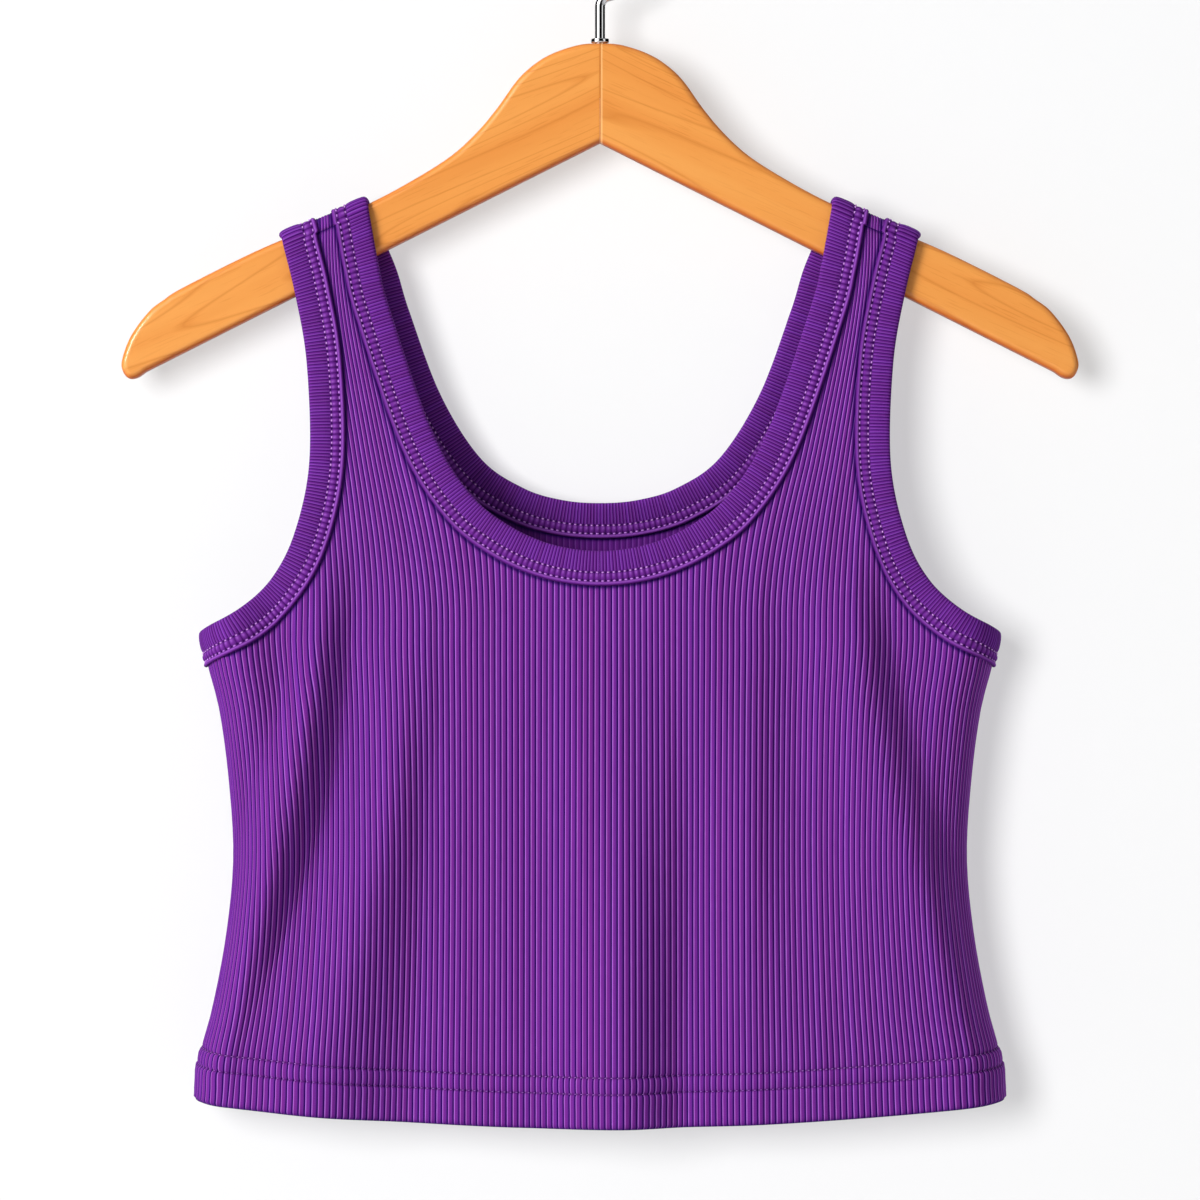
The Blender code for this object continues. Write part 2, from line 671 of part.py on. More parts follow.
def build_panel(name, side, material):
    """A panel: ribs on its outer face, a plain inner face and a rim between them."""
    right = half_outline(side)
    left = [SheetPoint(-point.s, point.v) for point in reversed(right[1:-1])]
    outline = right + left
    runs, loop = cut_columns(side, outline)

    outer_points = [point for point, _ in loop]
    outer_index = [index for _, index in loop]
    place = {point: number for number, point in enumerate(outer_points)}
    corners = set(outline)
    inner_points = []
    inner_place = {}
    for number, (point, index) in enumerate(loop):
        if index is None or in_inner_face(index) or point in corners:
            inner_place[number] = len(inner_points)
            inner_points.append(point)
    outer_edges = []
    inner_edges = []
    for index, run in runs:
        middle = far_from_ends(run)
        kept = [run[0], *middle, run[-1]]
        for point in middle:
            place[point] = len(outer_points)
            outer_points.append(point)
            outer_index.append(index)
        outer_edges += [(place[a], place[b]) for a, b in zip(kept, kept[1:])]
        if in_inner_face(index):
            numbers = [inner_place[place[run[0]]]]
            for point in middle:
                numbers.append(len(inner_points))
                inner_points.append(point)
            numbers.append(inner_place[place[run[-1]]])
            inner_edges += list(zip(numbers, numbers[1:]))

    loop_size = len(loop)
    outer_faces = triangulate(outer_points, outer_edges, list(range(loop_size)))
    inner_faces = triangulate(inner_points, inner_edges, list(range(len(inner_place))))

    mesh = bmesh.new()
    outer = []
    for point, index in zip(outer_points, outer_index):
        level = level_between_columns(point.s, point.v) if index is None else rib_level(index)
        level += hem_share(point.v, point.s) * HEM_OUTER_STEP
        outer.append(mesh.verts.new(lay(side, point.s, point.v, level)))
    inner = []
    for point in inner_points:
        fold_depth = -hem_share(point.v, point.s) * HEM_INNER_FOLD
        inner.append(mesh.verts.new(lay(side, point.s, point.v, fold_depth)))
    for face in outer_faces:
        mesh.faces.new([outer[corner] for corner in face])
    for face in inner_faces:
        mesh.faces.new([inner[corner] for corner in reversed(face)])
    kept_numbers = sorted(inner_place)
    for here, ahead in zip(kept_numbers, kept_numbers[1:] + [kept_numbers[0] + loop_size]):
        inner_here = inner[inner_place[here]]
        inner_ahead = inner[inner_place[ahead % loop_size]]
        halfway = (here + ahead) // 2
        for number in range(here, ahead):
            apex = inner_here if number < halfway else inner_ahead
            mesh.faces.new([outer[(number + 1) % loop_size], outer[number % loop_size], apex])
        mesh.faces.new([inner_here, inner_ahead, outer[halfway % loop_size]])
    bmesh.ops.recalc_face_normals(mesh, faces=mesh.faces)
    return finish_mesh(name, mesh, material)


# ---------------------------------------------------------------- bands
def build_band(name, frames, material):
    """A folded band round an opening: its closed fold is the finished edge, its two legs clasp the panel."""
    mesh = bmesh.new()
    rings = []
    for frame in frames:
        ring = []
        for corner in BAND_SECTION:
            point = inset(frame, corner.from_edge * MM)
            ring.append(mesh.verts.new(lay(frame.side, point.s, point.v, corner.out * MM)))
        rings.append(ring)
    size = len(BAND_SECTION)
    for ring, following in zip(rings, rings[1:] + rings[:1]):
        for corner in range(size):
            beside = (corner + 1) % size
            mesh.faces.new([ring[corner], ring[beside], following[beside], following[corner]])
    bmesh.ops.recalc_face_normals(mesh, faces=mesh.faces)
    return finish_mesh(name, mesh, material)


def neck_frames():
    """Closed run of frames round the neck."""
    right = NECK_FRONT + NECK_TURN + NECK_BACK[::-1]
    return right + [mirrored(frame) for frame in reversed(right[1:-1])]


def armhole_frames(mirror):
    """Closed run of frames round one armhole."""
    frames = ARM_FRONT + ARM_TURN + ARM_BACK[:0:-1]
    return [mirrored(frame) for frame in frames] if mirror else frames


# ---------------------------------------------------------------- hanger
def mesh_from_curve(curve_object):
    """Mesh object with the evaluated shape of a curve object, which is removed."""
    bpy.context.view_layer.update()
    evaluated = curve_object.evaluated_get(bpy.context.evaluated_depsgraph_get())
    data = bpy.data.meshes.new_from_object(evaluated)
    mesh = bmesh.new()
    mesh.from_mesh(data)
    bmesh.ops.transform(mesh, matrix=curve_object.matrix_world, verts=mesh.verts)
    bmesh.ops.remove_doubles(mesh, verts=mesh.verts, dist=0.01 * MM)
    bpy.data.objects.remove(curve_object)
    bpy.data.meshes.remove(data)
    return mesh


def hanger_outline():
    """Closed outline of the right half, beginning at the top of its centre seam."""
    seam_x = SEAM_GAP / 2
    points = [(seam_x, WOOD_TOP_Z)]
    points += [(row.x * MM, row.z * MM) for row in WOOD_OUTLINE]
    points.append((seam_x, WOOD_NOTCH_Z))
    return points


def build_hanger_half(name, direction, material, bore):
    """Half of the wooden hanger: a flat outline with rounded edges, bored for the shank at the seam."""
    curve = bpy.data.curves.new(name + "_outline", "CURVE")
    curve.dimensions = "2D"
    curve.fill_mode = "BOTH"
    curve.extrude = WOOD_THICKNESS / 2
    points = [(direction * x, z) for x, z in hanger_outline()]
    line = curve.splines.new("POLY")
    line.points.add(len(points) - 1)
    for point, (x, z) in zip(line.points, points):
        point.co = (x, z, 0, 1)
    line.use_cyclic_u = True
    outline = bpy.data.objects.new(name + "_outline", curve)
    bpy.context.scene.collection.objects.link(outline)
    outline.rotation_euler = (math.pi / 2, 0, 0)
    mesh = mesh_from_curve(outline)

    seam = SEAM_GAP / 2 + 0.05 * MM
    rim = []
    for edge in mesh.edges:
        face_levels = [abs(abs(vert.co.y) - WOOD_THICKNESS / 2) < 0.01 * MM for vert in edge.verts]
        on_seam = all(abs(vert.co.x) < seam for vert in edge.verts)
        turned = edge.is_manifold and edge.calc_face_angle() > 1.0
        if all(face_levels) and turned and not on_seam:
            rim.append(edge)
    bmesh.ops.bevel(mesh, geom=rim, offset=WOOD_EDGE_RADIUS, segments=3, profile=0.5, affect="EDGES")
    bmesh.ops.recalc_face_normals(mesh, faces=mesh.faces)
    half = finish_mesh(name, mesh, material)
    cut = half.modifiers.new("shank_bore", "BOOLEAN")
    cut.operation = "DIFFERENCE"
    cut.object = bore
    return half


def build_bore(collection):
    """Cutter for the hole that takes the hook's shank."""
    clearance = WIRE_RADIUS + SEAM_GAP
    foot = SHANK_FOOT_Z - SEAM_GAP
    top = WOOD_TOP_Z + 10 * MM
    mesh = bmesh.new()
    place = Matrix.Translation((0, 0, (foot + top) / 2))
    bmesh.ops.create_cone(
        mesh, cap_ends=True, segments=20, radius1=clearance, radius2=clearance, depth=top - foot, matrix=place
    )
    data = bpy.data.meshes.new("shank_bore")
    mesh.to_mesh(data)
    mesh.free()
    bore = bpy.data.objects.new("shank_bore", data)
    collection.objects.link(bore)
    bore.hide_render = True
    bore.display_type = "WIRE"
    return bore


def hook_route():
    """Centre line of the wire: up the shank, out in a bend, and round the crown to the tip."""
    crown_radius = HOOK_INNER_RADIUS + WIRE_RADIUS
    crown_z = -HOOK_INNER_RADIUS
    reach = HOOK_BEND_RADIUS + crown_radius
    bend_z = crown_z - math.sqrt(reach**2 - HOOK_BEND_RADIUS**2)
    join_angle = math.atan2(bend_z - crown_z, HOOK_BEND_RADIUS)
    route = [(0.0, SHANK_FOOT_Z), (0.0, (SHANK_FOOT_Z + bend_z) / 2)]
    bend_steps = 6
    for step in range(bend_steps):
        angle = -join_angle * step / bend_steps
        x = HOOK_BEND_RADIUS * (1 - math.cos(angle))
        route.append((x, bend_z + HOOK_BEND_RADIUS * math.sin(angle)))
    crown_steps = 26
    for step in range(crown_steps + 1):
        angle = join_angle + (HOOK_TIP_ANGLE - join_angle) * step / crown_steps
        route.append((crown_radius * math.cos(angle), crown_z + crown_radius * math.sin(angle)))
    return route


def build_hook(name, material):
    """Wire hook with its shank."""
    curve = bpy.data.curves.new(name, "CURVE")
    curve.dimensions = "3D"
    curve.bevel_depth = WIRE_RADIUS
    curve.bevel_resolution = 2
    curve.use_fill_caps = True
    route = hook_route()
    line = curve.splines.new("POLY")
    line.points.add(len(route) - 1)
    for point, (x, z) in zip(line.points, route):
        point.co = (x, 0, z, 1)
    wire = bpy.data.objects.new(name + "_wire", curve)
    bpy.context.scene.collection.objects.link(wire)
    mesh = mesh_from_curve(wire)
    bmesh.ops.recalc_face_normals(mesh, faces=mesh.faces)
    return finish_mesh(name, mesh, material)


def build_collar(name, material):
    """Turned collar on the wood, round the shank."""
    foot = WOOD_TOP_Z + SEAM_GAP
    top = foot + COLLAR_HEIGHT
    bore = WIRE_RADIUS + SEAM_GAP
    chamfer = 0.6 * MM
    profile = (
        (bore, top),
        (COLLAR_RADIUS - chamfer, top),
        (COLLAR_RADIUS, top - chamfer),
        (COLLAR_RADIUS, foot),
        (bore, foot),
    )
    data = bpy.data.meshes.new(name)
    corners = [(x, 0, z) for x, z in profile]
    edges = [(corner, (corner + 1) % len(corners)) for corner in range(len(corners))]
    data.from_pydata(corners, edges, [])
    data.materials.append(material)
    collar = bpy.data.objects.new(name, data)
    part_collection().objects.link(collar)
    turn = collar.modifiers.new("turn", "SCREW")
    turn.steps = 20
    turn.render_steps = 20
    turn.use_merge_vertices = True
    turn.merge_threshold = 0.00001
    return collar


# ---------------------------------------------------------------- scene
def part_collection():
    """Collection that holds the object's pieces."""
    return bpy.data.collections["crop_tank_top_on_hanger"]


def finish_mesh(name, mesh, material):
    """Named object with a material, from a bmesh, which is freed."""
    data = bpy.data.meshes.new(name)
    mesh.to_mesh(data)
    mesh.free()
    data.materials.append(material)
    data.shade_smooth()
    data.set_sharp_from_angle(angle=math.radians(50))
    piece = bpy.data.objects.new(name, data)
    part_collection().objects.link(piece)
    return piece


def make_material(name, colour, roughness, metallic=0.0):
    """Principled material of one colour."""
    material = bpy.data.materials.new(name)
    material.use_nodes = True
    shader = material.node_tree.nodes["Principled BSDF"]
    shader.inputs["Base Color"].default_value = (*colour, 1)
    shader.inputs["Roughness"].default_value = roughness
    shader.inputs["Metallic"].default_value = metallic
    return material


def clear_scene():
    """Remove what the scene holds."""
    for item in list(bpy.data.objects):
        bpy.data.objects.remove(item)


def main():
    """Build the garment and its hanger."""
    clear_scene()
    pieces = bpy.data.collections.new("crop_tank_top_on_hanger")
    cutters = bpy.data.collections.new("cutters")
    for collection in (pieces, cutters):
        bpy.context.scene.collection.children.link(collection)

    knit = make_material("purple_rib_knit", (0.168, 0.026, 0.292), 0.85)
    binding = make_material("purple_rib_binding", (0.165, 0.028, 0.296), 0.85)
    wood = make_material("honey_wood", (0.87, 0.34, 0.08), 0.35)
    chrome = make_material("polished_wire", (0.75, 0.76, 0.78), 0.12, 1.0)

    build_panel("front_panel", FRONT, knit)
    build_panel("back_panel", BACK, knit)
    build_band("neck_binding", neck_frames(), binding)
    build_band("armhole_binding_right", armhole_frames(False), binding)
    build_band("armhole_binding_left", armhole_frames(True), binding)
    bore = build_bore(cutters)
    build_hanger_half("hanger_left", -1, wood, bore)
    build_hanger_half("hanger_right", 1, wood, bore)
    build_hook("hook", chrome)
    build_collar("hook_collar", chrome)


main()
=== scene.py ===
"""Looks of a rib-knit crop tank top on a wooden hanger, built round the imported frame.

The cloth is drawn in a sheet plane first: s runs along the cloth from the centre line and v runs up it. The
sheet is then laid on the draped form, and every rib, fold, stitch row and folded band is raised along the
cloth's outward normal. +X is the viewer's right and the front faces -Y. The origin is inside the hook's
crown.
"""

import logging
import math
from dataclasses import dataclass
from enum import Enum
from functools import cached_property

import bpy
import numpy as np
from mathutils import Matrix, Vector


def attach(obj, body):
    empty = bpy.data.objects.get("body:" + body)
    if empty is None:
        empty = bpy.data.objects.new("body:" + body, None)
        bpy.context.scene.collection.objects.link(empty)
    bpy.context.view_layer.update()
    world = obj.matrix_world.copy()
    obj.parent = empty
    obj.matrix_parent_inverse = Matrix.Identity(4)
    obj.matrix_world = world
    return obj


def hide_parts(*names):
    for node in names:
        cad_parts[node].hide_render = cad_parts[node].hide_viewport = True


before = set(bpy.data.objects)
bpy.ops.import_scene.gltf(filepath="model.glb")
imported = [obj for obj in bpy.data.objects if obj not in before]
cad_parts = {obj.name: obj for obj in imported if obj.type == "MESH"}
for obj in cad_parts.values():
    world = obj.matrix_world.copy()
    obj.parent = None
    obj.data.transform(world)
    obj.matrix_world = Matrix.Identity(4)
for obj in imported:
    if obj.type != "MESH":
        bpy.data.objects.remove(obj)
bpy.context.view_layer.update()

MM = 0.001
LOG = logging.getLogger("tank_top")

Colour = tuple[float, float, float]
Socket = bpy.types.NodeSocket
# middle, half width and strength of a soft line
SoftLine = tuple[float, float, float]

# heights of the hem's two stitched rows above its edge, in millimetres
HEM_STITCHES = (16.3, 24.0)


class Side(Enum):
    """The two body panels, by the direction in which they stand from the middle plane."""

    FRONT = -1
    BACK = 1


class Opening(Enum):
    """The edges that a folded band finishes."""

    NECK = "neck_binding"
    ARMHOLE_LEFT = "armhole_binding_left"
    ARMHOLE_RIGHT = "armhole_binding_right"


def smoothstep(low: float, high: float, value: np.ndarray) -> np.ndarray:
    """Ease from 0 at low to 1 at high."""
    share = np.clip((value - low) / (high - low), 0.0, 1.0)
    return share * share * (3 - 2 * share)


def bell(value: np.ndarray, centre: float, half_width: float) -> np.ndarray:
    """Soft bump of height 1, sunk to about a third at half_width from its centre."""
    return np.exp(-(((value - centre) / half_width) ** 2))


# ---------------------------------------------------------------- finishes
def grey(level: float) -> Colour:
    """Grey of a brightness."""
    return level, level, level


class NodeBoard:
    """A material with short ways to add and link its nodes."""

    def __init__(self, name: str) -> None:
        """Make an empty node material.

        Args:
            name: name of the material.
        """
        self.material = bpy.data.materials.new(name)
        self.material.use_nodes = True
        self.tree = self.material.node_tree
        self.shader = self.tree.nodes["Principled BSDF"]

    def add(self, kind: str, inputs: dict | None = None, **settings: object) -> bpy.types.Node:
        """Add a node.

        Args:
            kind: Blender's node type.
            inputs: values or sockets for its inputs, by name or number.
            settings: attributes of the node.

        Returns:
            The new node.
        """
        node = self.tree.nodes.new(kind)
        for key, value in settings.items():
            setattr(node, key, value)
        for key, value in (inputs or {}).items():
            self.feed(node.inputs[key], value)
        return node

    def feed(self, socket: Socket, value: object) -> None:
        """Link a socket to another, or set its value.

        Args:
            socket: input to feed.
            value: output socket or plain value.
        """
        if isinstance(value, Socket):
            self.tree.links.new(value, socket)
        else:
            socket.default_value = value

    def math(self, operation: str, first: object, second: object = 0.0, third: object = 0.0) -> Socket:
        """Output of a Math node, whose third input only some operations have."""
        inputs = {0: first, 1: second, 2: third}
        return self.add("ShaderNodeMath", inputs, operation=operation).outputs[0]

    def fade(self, value: object, low: float, high: float, first: float = 1.0, last: float = 0.0) -> Socket:
        """Even change from first, up to low, to last, from high on."""
        inputs = {0: value, 1: low, 2: high, 3: first, 4: last}
        return self.add("ShaderNodeMapRange", inputs).outputs[0]

    def ramp(self, share: object, stops: list[tuple[float, Colour]]) -> Socket:
        """Colour ramp.

        Args:
            share: socket that drives it.
            stops: places and colours.

        Returns:
            The colour socket.
        """
        node = self.add("ShaderNodeValToRGB", {0: share})
        elements = node.color_ramp.elements
        while len(elements) < len(stops):
            elements.new(1.0)
        for element, (place, colour) in zip(elements, stops):
            element.position = place
            element.color = (*colour, 1.0)
        return node.outputs[0]

    def mix(self, share: object, first: object, second: object, blend: str = "MIX") -> Socket:
        """Mix of two colours.

        Args:
            share: socket or number.
            first: socket or colour.
            second: socket or colour.
            blend: Blender's blend type.

        Returns:
            The colour socket.
        """
        node = self.add("ShaderNodeMix", data_type="RGBA", blend_type=blend)
        for socket, value in ((node.inputs[0], share), (node.inputs[6], first), (node.inputs[7], second)):
            if isinstance(value, tuple):
                value = (*value, 1.0)
            self.feed(socket, value)
        return node.outputs[2]

    def cloth_places(self, layer: str) -> tuple[Socket, Socket]:
        """U and V of a UV map."""
        split = self.add("ShaderNodeSeparateXYZ", {0: self.add("ShaderNodeUVMap", uv_map=layer).outputs[0]})
        return split.outputs[0], split.outputs[1]

    def valley(self, count: object) -> Socket:
        """1 at each whole number of a count and 0 half way between."""
        wave = self.math("ABSOLUTE", self.math("SINE", self.math("MULTIPLY", count, math.pi)))
        return self.math("SUBTRACT", 1.0, wave)

    def bell(self, value: object, centre: float, half_width: float) -> Socket:
        """Soft bump of height 1 round a centre, sunk to about a third at half_width from it."""
        away = self.math("DIVIDE", self.math("SUBTRACT", value, centre), half_width)
        return self.math("EXPONENT", self.math("MULTIPLY", self.math("MULTIPLY", away, away), -1.0))

    def soft_line(
        self, colour: object, tone: object, value: object, centre: float, half_width: float, strength: float
    ) -> Socket:
        """Colour with a soft line of another tone where a value is near its centre."""
        return self.mix(self.math("MULTIPLY", self.bell(value, centre, half_width), strength), colour, tone)

    def scaled(self, colour: object, share: object) -> Socket:
        """Colour made lighter or darker by a factor."""
        factor = self.add("ShaderNodeCombineColor", {0: share, 1: share, 2: share}).outputs[0]
        return self.mix(1.0, colour, factor, "MULTIPLY")

    def noise(self, place: object, scale: float, detail: float = 2.0) -> Socket:
        """Noise texture, with scale as features per metre and detail as the number of finer layers."""
        inputs = {"Vector": place, "Scale": scale, "Detail": detail}
        return self.add("ShaderNodeTexNoise", inputs).outputs["Fac"]

    def bump(self, height: object, distance: float, strength: float = 1.0) -> None:
        """Raise the surface's shading by a height, whose 1 stands for a distance in metres."""
        node = self.add("ShaderNodeBump", {"Height": height, "Distance": distance, "Strength": strength})
        self.tree.links.new(node.outputs[0], self.shader.inputs["Normal"])

    def dress(self, **values: object) -> bpy.types.Material:
        """Set the shader's own sockets.

        Args:
            values: socket names, with _ for a space, and values or sockets.

        Returns:
            The material.
        """
        for key, value in values.items():
            if isinstance(value, tuple):
                value = (*value, 1.0)
            self.feed(self.shader.inputs[key.replace("_", " ")], value)
        return self.material


@dataclass(frozen=True)
class KnitFinish:
    """Rib knit. The UV map counts ribs along U, with a valley at each whole number, and V is in millimetres.
    Counts above inner_count belong to the plainer inner face."""

    name: str
    # Tones across a rib: valley is painted shade in the rib valleys, crest a painted highlight on one flank
    # of each rib.
    valley: Colour = (0.013, 0.001, 0.085)
    rise: Colour = (0.240, 0.066, 0.385)
    crest: Colour = (0.370, 0.135, 0.500)
    middle: Colour = (0.156, 0.018, 0.236)
    fall: Colour = (0.138, 0.022, 0.270)
    # inner: darker colour painted on the inner face as the shade inside the garment
    inner: Colour = (0.105, 0.012, 0.200)
    # hole: painted shade in needle holes
    hole: Colour = (0.018, 0.001, 0.050)
    tints: tuple[Colour, ...] = ((0.94, 0.86, 0.91), (0.91, 0.88, 0.93), (0.88, 0.89, 0.95))
    tone_places: tuple[float, ...] = (0.0, 0.06, 0.14, 0.21, 0.31, 0.52, 0.77, 0.87, 0.93, 1.0)
    inner_count: float = 250.0
    inner_share: float = 0.72
    # painted shadow of the bands' rolls on the cloth
    painted_shadow_beside_bands: SoftLine = (0.5, 0.95, 0.85)
    shoulder_seam: SoftLine = (0.0, 1.1, 0.92)
    # painted shade along the hem's lower edge
    painted_shade_at_hem_edge: SoftLine = (-0.2, 1.3, 0.70)
    hole_half: float = 0.42
    loop_length: float = 1.15
    rib_uneven: float = 0.24
    rib_bump: float = 0.08 * MM
    bump_unit: float = 0.1 * MM

    def build(self) -> bpy.types.Material:
        """Material with painted shade in the rib valleys, a painted highlight on one flank of each rib,
        uneven crests and fine stitches.

        Returns:
            The material.
        """
        board = NodeBoard(self.name)
        ribs, length = board.cloth_places("cloth")
        colour = self.marks(board, self.rib_colour(board, ribs, length), ribs, length)
        # painted shade: the inner face is mixed towards the darker inner colour
        inside = board.math("GREATER_THAN", ribs, self.inner_count)
        colour = board.mix(board.math("MULTIPLY", inside, self.inner_share), colour, self.inner)
        clear, below_seam = board.cloth_places("bands")
        # painted shadow just below the bands' rolls
        colour = board.soft_line(colour, self.valley, clear, *self.painted_shadow_beside_bands)
        colour = board.soft_line(colour, self.valley, below_seam, *self.shoulder_seam)
        # painted shade along the hem's lower edge
        colour = board.soft_line(colour, self.valley, length, *self.painted_shade_at_hem_edge)
        crest, height = self.rib_relief(board, ribs)
        return self.finished(board, colour, height, crest, length)

    def rib_relief(self, board: NodeBoard, ribs: Socket) -> tuple[Socket, Socket]:
        """Round tops of the ribs.

        Args:
            board: material to add to.
            ribs: count of ribs.

        Returns:
            0 in a valley to 1 on a crest, and the height in bump units.
        """
        crest = board.math("SUBTRACT", 1.0, board.valley(ribs))
        height = board.math("MULTIPLY", board.math("POWER", crest, 0.6), self.rib_bump / self.bump_unit)
        return crest, height

    def rib_colour(self, board: NodeBoard, ribs: Socket, length: Socket) -> Socket:
        """Colour across the ribs, with painted shade in each valley and a painted highlight on one flank,
        uneven from rib to rib and along each.

        Args:
            board: material to add to.
            ribs: count of ribs.
            length: millimetres along them.

        Returns:
            The colour socket.
        """
        # the ramp paints shade towards each valley and a painted highlight at its crest stop
        phase = board.math("FRACT", ribs)
        dark = tuple((low + 2 * high) / 3.3 for low, high in zip(self.valley, self.fall))
        tones = (
            self.valley, self.valley, self.rise, self.crest, self.middle, self.middle, self.fall, dark,
            self.valley, self.valley,
        )
        colour = board.ramp(phase, list(zip(self.tone_places, tones)))
        number = board.math("FLOOR", ribs)
        each = board.add("ShaderNodeTexWhiteNoise", {"W": number}, noise_dimensions="1D").outputs["Value"]
        tint = board.ramp(each, list(zip((0.0, 0.5, 1.0), self.tints)))
        colour = board.scaled(board.mix(1.0, colour, tint, "MULTIPLY"), 1.10)
        across = board.math("MULTIPLY", ribs, 0.55)
        along = board.math("MULTIPLY", length, 0.011)
        streak = board.noise(board.add("ShaderNodeCombineXYZ", {0: across, 1: along}).outputs[0], 1.0)
        both = board.math("ADD", board.math("MULTIPLY", each, 0.45), streak)
        tone = board.math("MULTIPLY_ADD", both, self.rib_uneven, 1.0 - 0.72 * self.rib_uneven)
        return board.scaled(colour, tone)

    def marks(self, board: NodeBoard, colour: Socket, ribs: Socket, length: Socket) -> Socket:
        """Painted shade in the needle holes of the hem's two rows.

        Args:
            board: material to add to.
            colour: colour to mark.
            ribs: count of ribs.
            length: millimetres along them.

        Returns:
            The marked colour.
        """
        # painted shade in the needle holes, deeper in the rib valleys
        rows = board.math("ADD", *(board.bell(length, row, self.hole_half) for row in HEM_STITCHES))
        share = board.math("MULTIPLY_ADD", board.valley(ribs), 0.5, 0.45)
        return board.mix(board.math("MULTIPLY", rows, share), colour, self.hole)

    def finished(
        self, board: NodeBoard, colour: Socket, height: Socket, crest: Socket, length: Socket
    ) -> bpy.types.Material:
        """Fine loops, fuzz, relief and the shader's own values.

        Args:
            board: material to add to.
            colour: base colour.
            height: relief of the ribs, in bump units.
            crest: 0 in a valley and 1 on a crest.
            length: millimetres along the ribs.

        Returns:
            The material.
        """
        rows = board.math("ADD", board.math("DIVIDE", length, self.loop_length), crest)
        loops = board.math("SINE", board.math("MULTIPLY", rows, 2 * math.pi))
        colour = board.scaled(colour, board.math("MULTIPLY_ADD", loops, 0.03, 1.0))
        fuzz = board.noise(board.add("ShaderNodeTexCoord").outputs["Object"], 2600.0)
        board.bump(board.math("ADD", height, board.math("MULTIPLY", fuzz, 0.6)), self.bump_unit)
        return board.dress(
            Base_Color=colour, Roughness=0.70, Specular_IOR_Level=0.03, Sheen_Weight=0.01,
            Sheen_Roughness=0.45, Sheen_Tint=(0.60, 0.30, 0.90),
        )


@dataclass(frozen=True)
class BindingFinish(KnitFinish):
    """Rib knit of the bands. A second UV map counts stitches along U, and V is millimetres from the edge."""

    # Tones across a band rib: valley is painted shade in the rib valleys, crest a painted highlight on one
    # flank of each rib.
    valley: Colour = (0.037, 0.002, 0.088)
    rise: Colour = (0.154, 0.034, 0.286)
    crest: Colour = (0.196, 0.049, 0.342)
    middle: Colour = (0.130, 0.018, 0.230)
    fall: Colour = (0.106, 0.012, 0.199)
    # hole: painted shade in needle holes
    hole: Colour = (0.012, 0.001, 0.040)
    tone_places: tuple[float, ...] = (0.0, 0.08, 0.20, 0.34, 0.50, 0.62, 0.78, 0.87, 0.94, 1.0)
    strip: Colour = (0.142, 0.020, 0.256)
    # shine: painted highlight colour of the puffs and the roll
    shine: Colour = (0.310, 0.095, 0.480)
    loop_length: float = 0.9
    rib_uneven: float = 0.40
    rib_end: float = 9.6
    rib_fade: float = 0.3
    rows: tuple[float, float] = (10.15, 14.1)
    roll_painted_highlight: SoftLine = (15.15, 0.42, 0.55)
    roll_painted_shade: SoftLine = (16.6, 0.55, 0.9)

    def build(self) -> bpy.types.Material:
        """Material whose ribs end at the first stitched row, with puffs of cloth between the rows, a painted
        highlight along the roll and painted shade at its foot.

        Returns:
            The material.
        """
        board = NodeBoard(self.name)
        ribs, length = board.cloth_places("cloth")
        stitches, _ = board.cloth_places("stitches")
        ribbed = board.fade(length, self.rib_end - self.rib_fade, self.rib_end + self.rib_fade)
        colour = self.rib_colour(board, ribs, length)
        colour = board.mix(ribbed, self.puffs(board, stitches, length), colour)
        # painted highlight along the roll
        colour = board.soft_line(colour, self.shine, length, *self.roll_painted_highlight)
        # painted shade at the foot of the roll
        colour = board.soft_line(colour, self.valley, length, *self.roll_painted_shade)
        crest, height = self.rib_relief(board, ribs)
        return self.finished(board, colour, board.math("MULTIPLY", height, ribbed), crest, length)

    def puffs(self, board: NodeBoard, stitches: Socket, length: Socket) -> Socket:
        """Colour of the strip between the rows: puffs with a painted highlight on top, painted shade in the
        gaps between them, and painted shade in the needle holes at both ends of a gap.

        Args:
            board: material to add to.
            stitches: count of stitches.
            length: millimetres from the finished edge.

        Returns:
            The colour socket.
        """
        phase = board.math("FRACT", stitches)
        # painted highlight on each puff's top
        top = board.math("MULTIPLY", board.bell(phase, 0.42, 0.20), board.bell(length, 11.4, 0.9))
        colour = board.mix(board.math("MULTIPLY", top, 0.60), self.strip, self.shine)
        # painted shade in the gaps between the puffs
        gap = board.math("POWER", board.valley(stitches), 1.6)
        within = board.math("MULTIPLY", gap, board.fade(length, 14.3, 14.7))
        colour = board.mix(board.math("MULTIPLY", within, 0.90), colour, self.valley)
        # painted shade in the needle holes of both rows
        first, second = self.rows
        rows = board.math("ADD", board.bell(length, first, 0.55), board.bell(length, second, 0.60))
        deep = board.math("MULTIPLY_ADD", board.math("POWER", board.valley(stitches), 1.2), 0.80, 0.20)
        return board.mix(board.math("MULTIPLY", rows, deep), colour, self.hole)


@dataclass(frozen=True)
class ThreadFinish:
    """Sewing thread of one colour with a slight twist."""

    name: str
    colour: Colour
    roughness: float = 0.55

    def build(self) -> bpy.types.Material:
        """Material with a fine twist and uneven tone.

        Returns:
            The material.
        """
        board = NodeBoard(self.name)
        place = board.add("ShaderNodeTexCoord").outputs["Object"]
        grain = board.noise(place, 900.0)
        darker = tuple(0.72 * part for part in self.colour)
        colour = board.mix(grain, darker, self.colour)
        board.bump(board.noise(place, 4200.0), 0.08 * MM)
        return board.dress(Base_Color=colour, Roughness=self.roughness, Specular_IOR_Level=0.04)


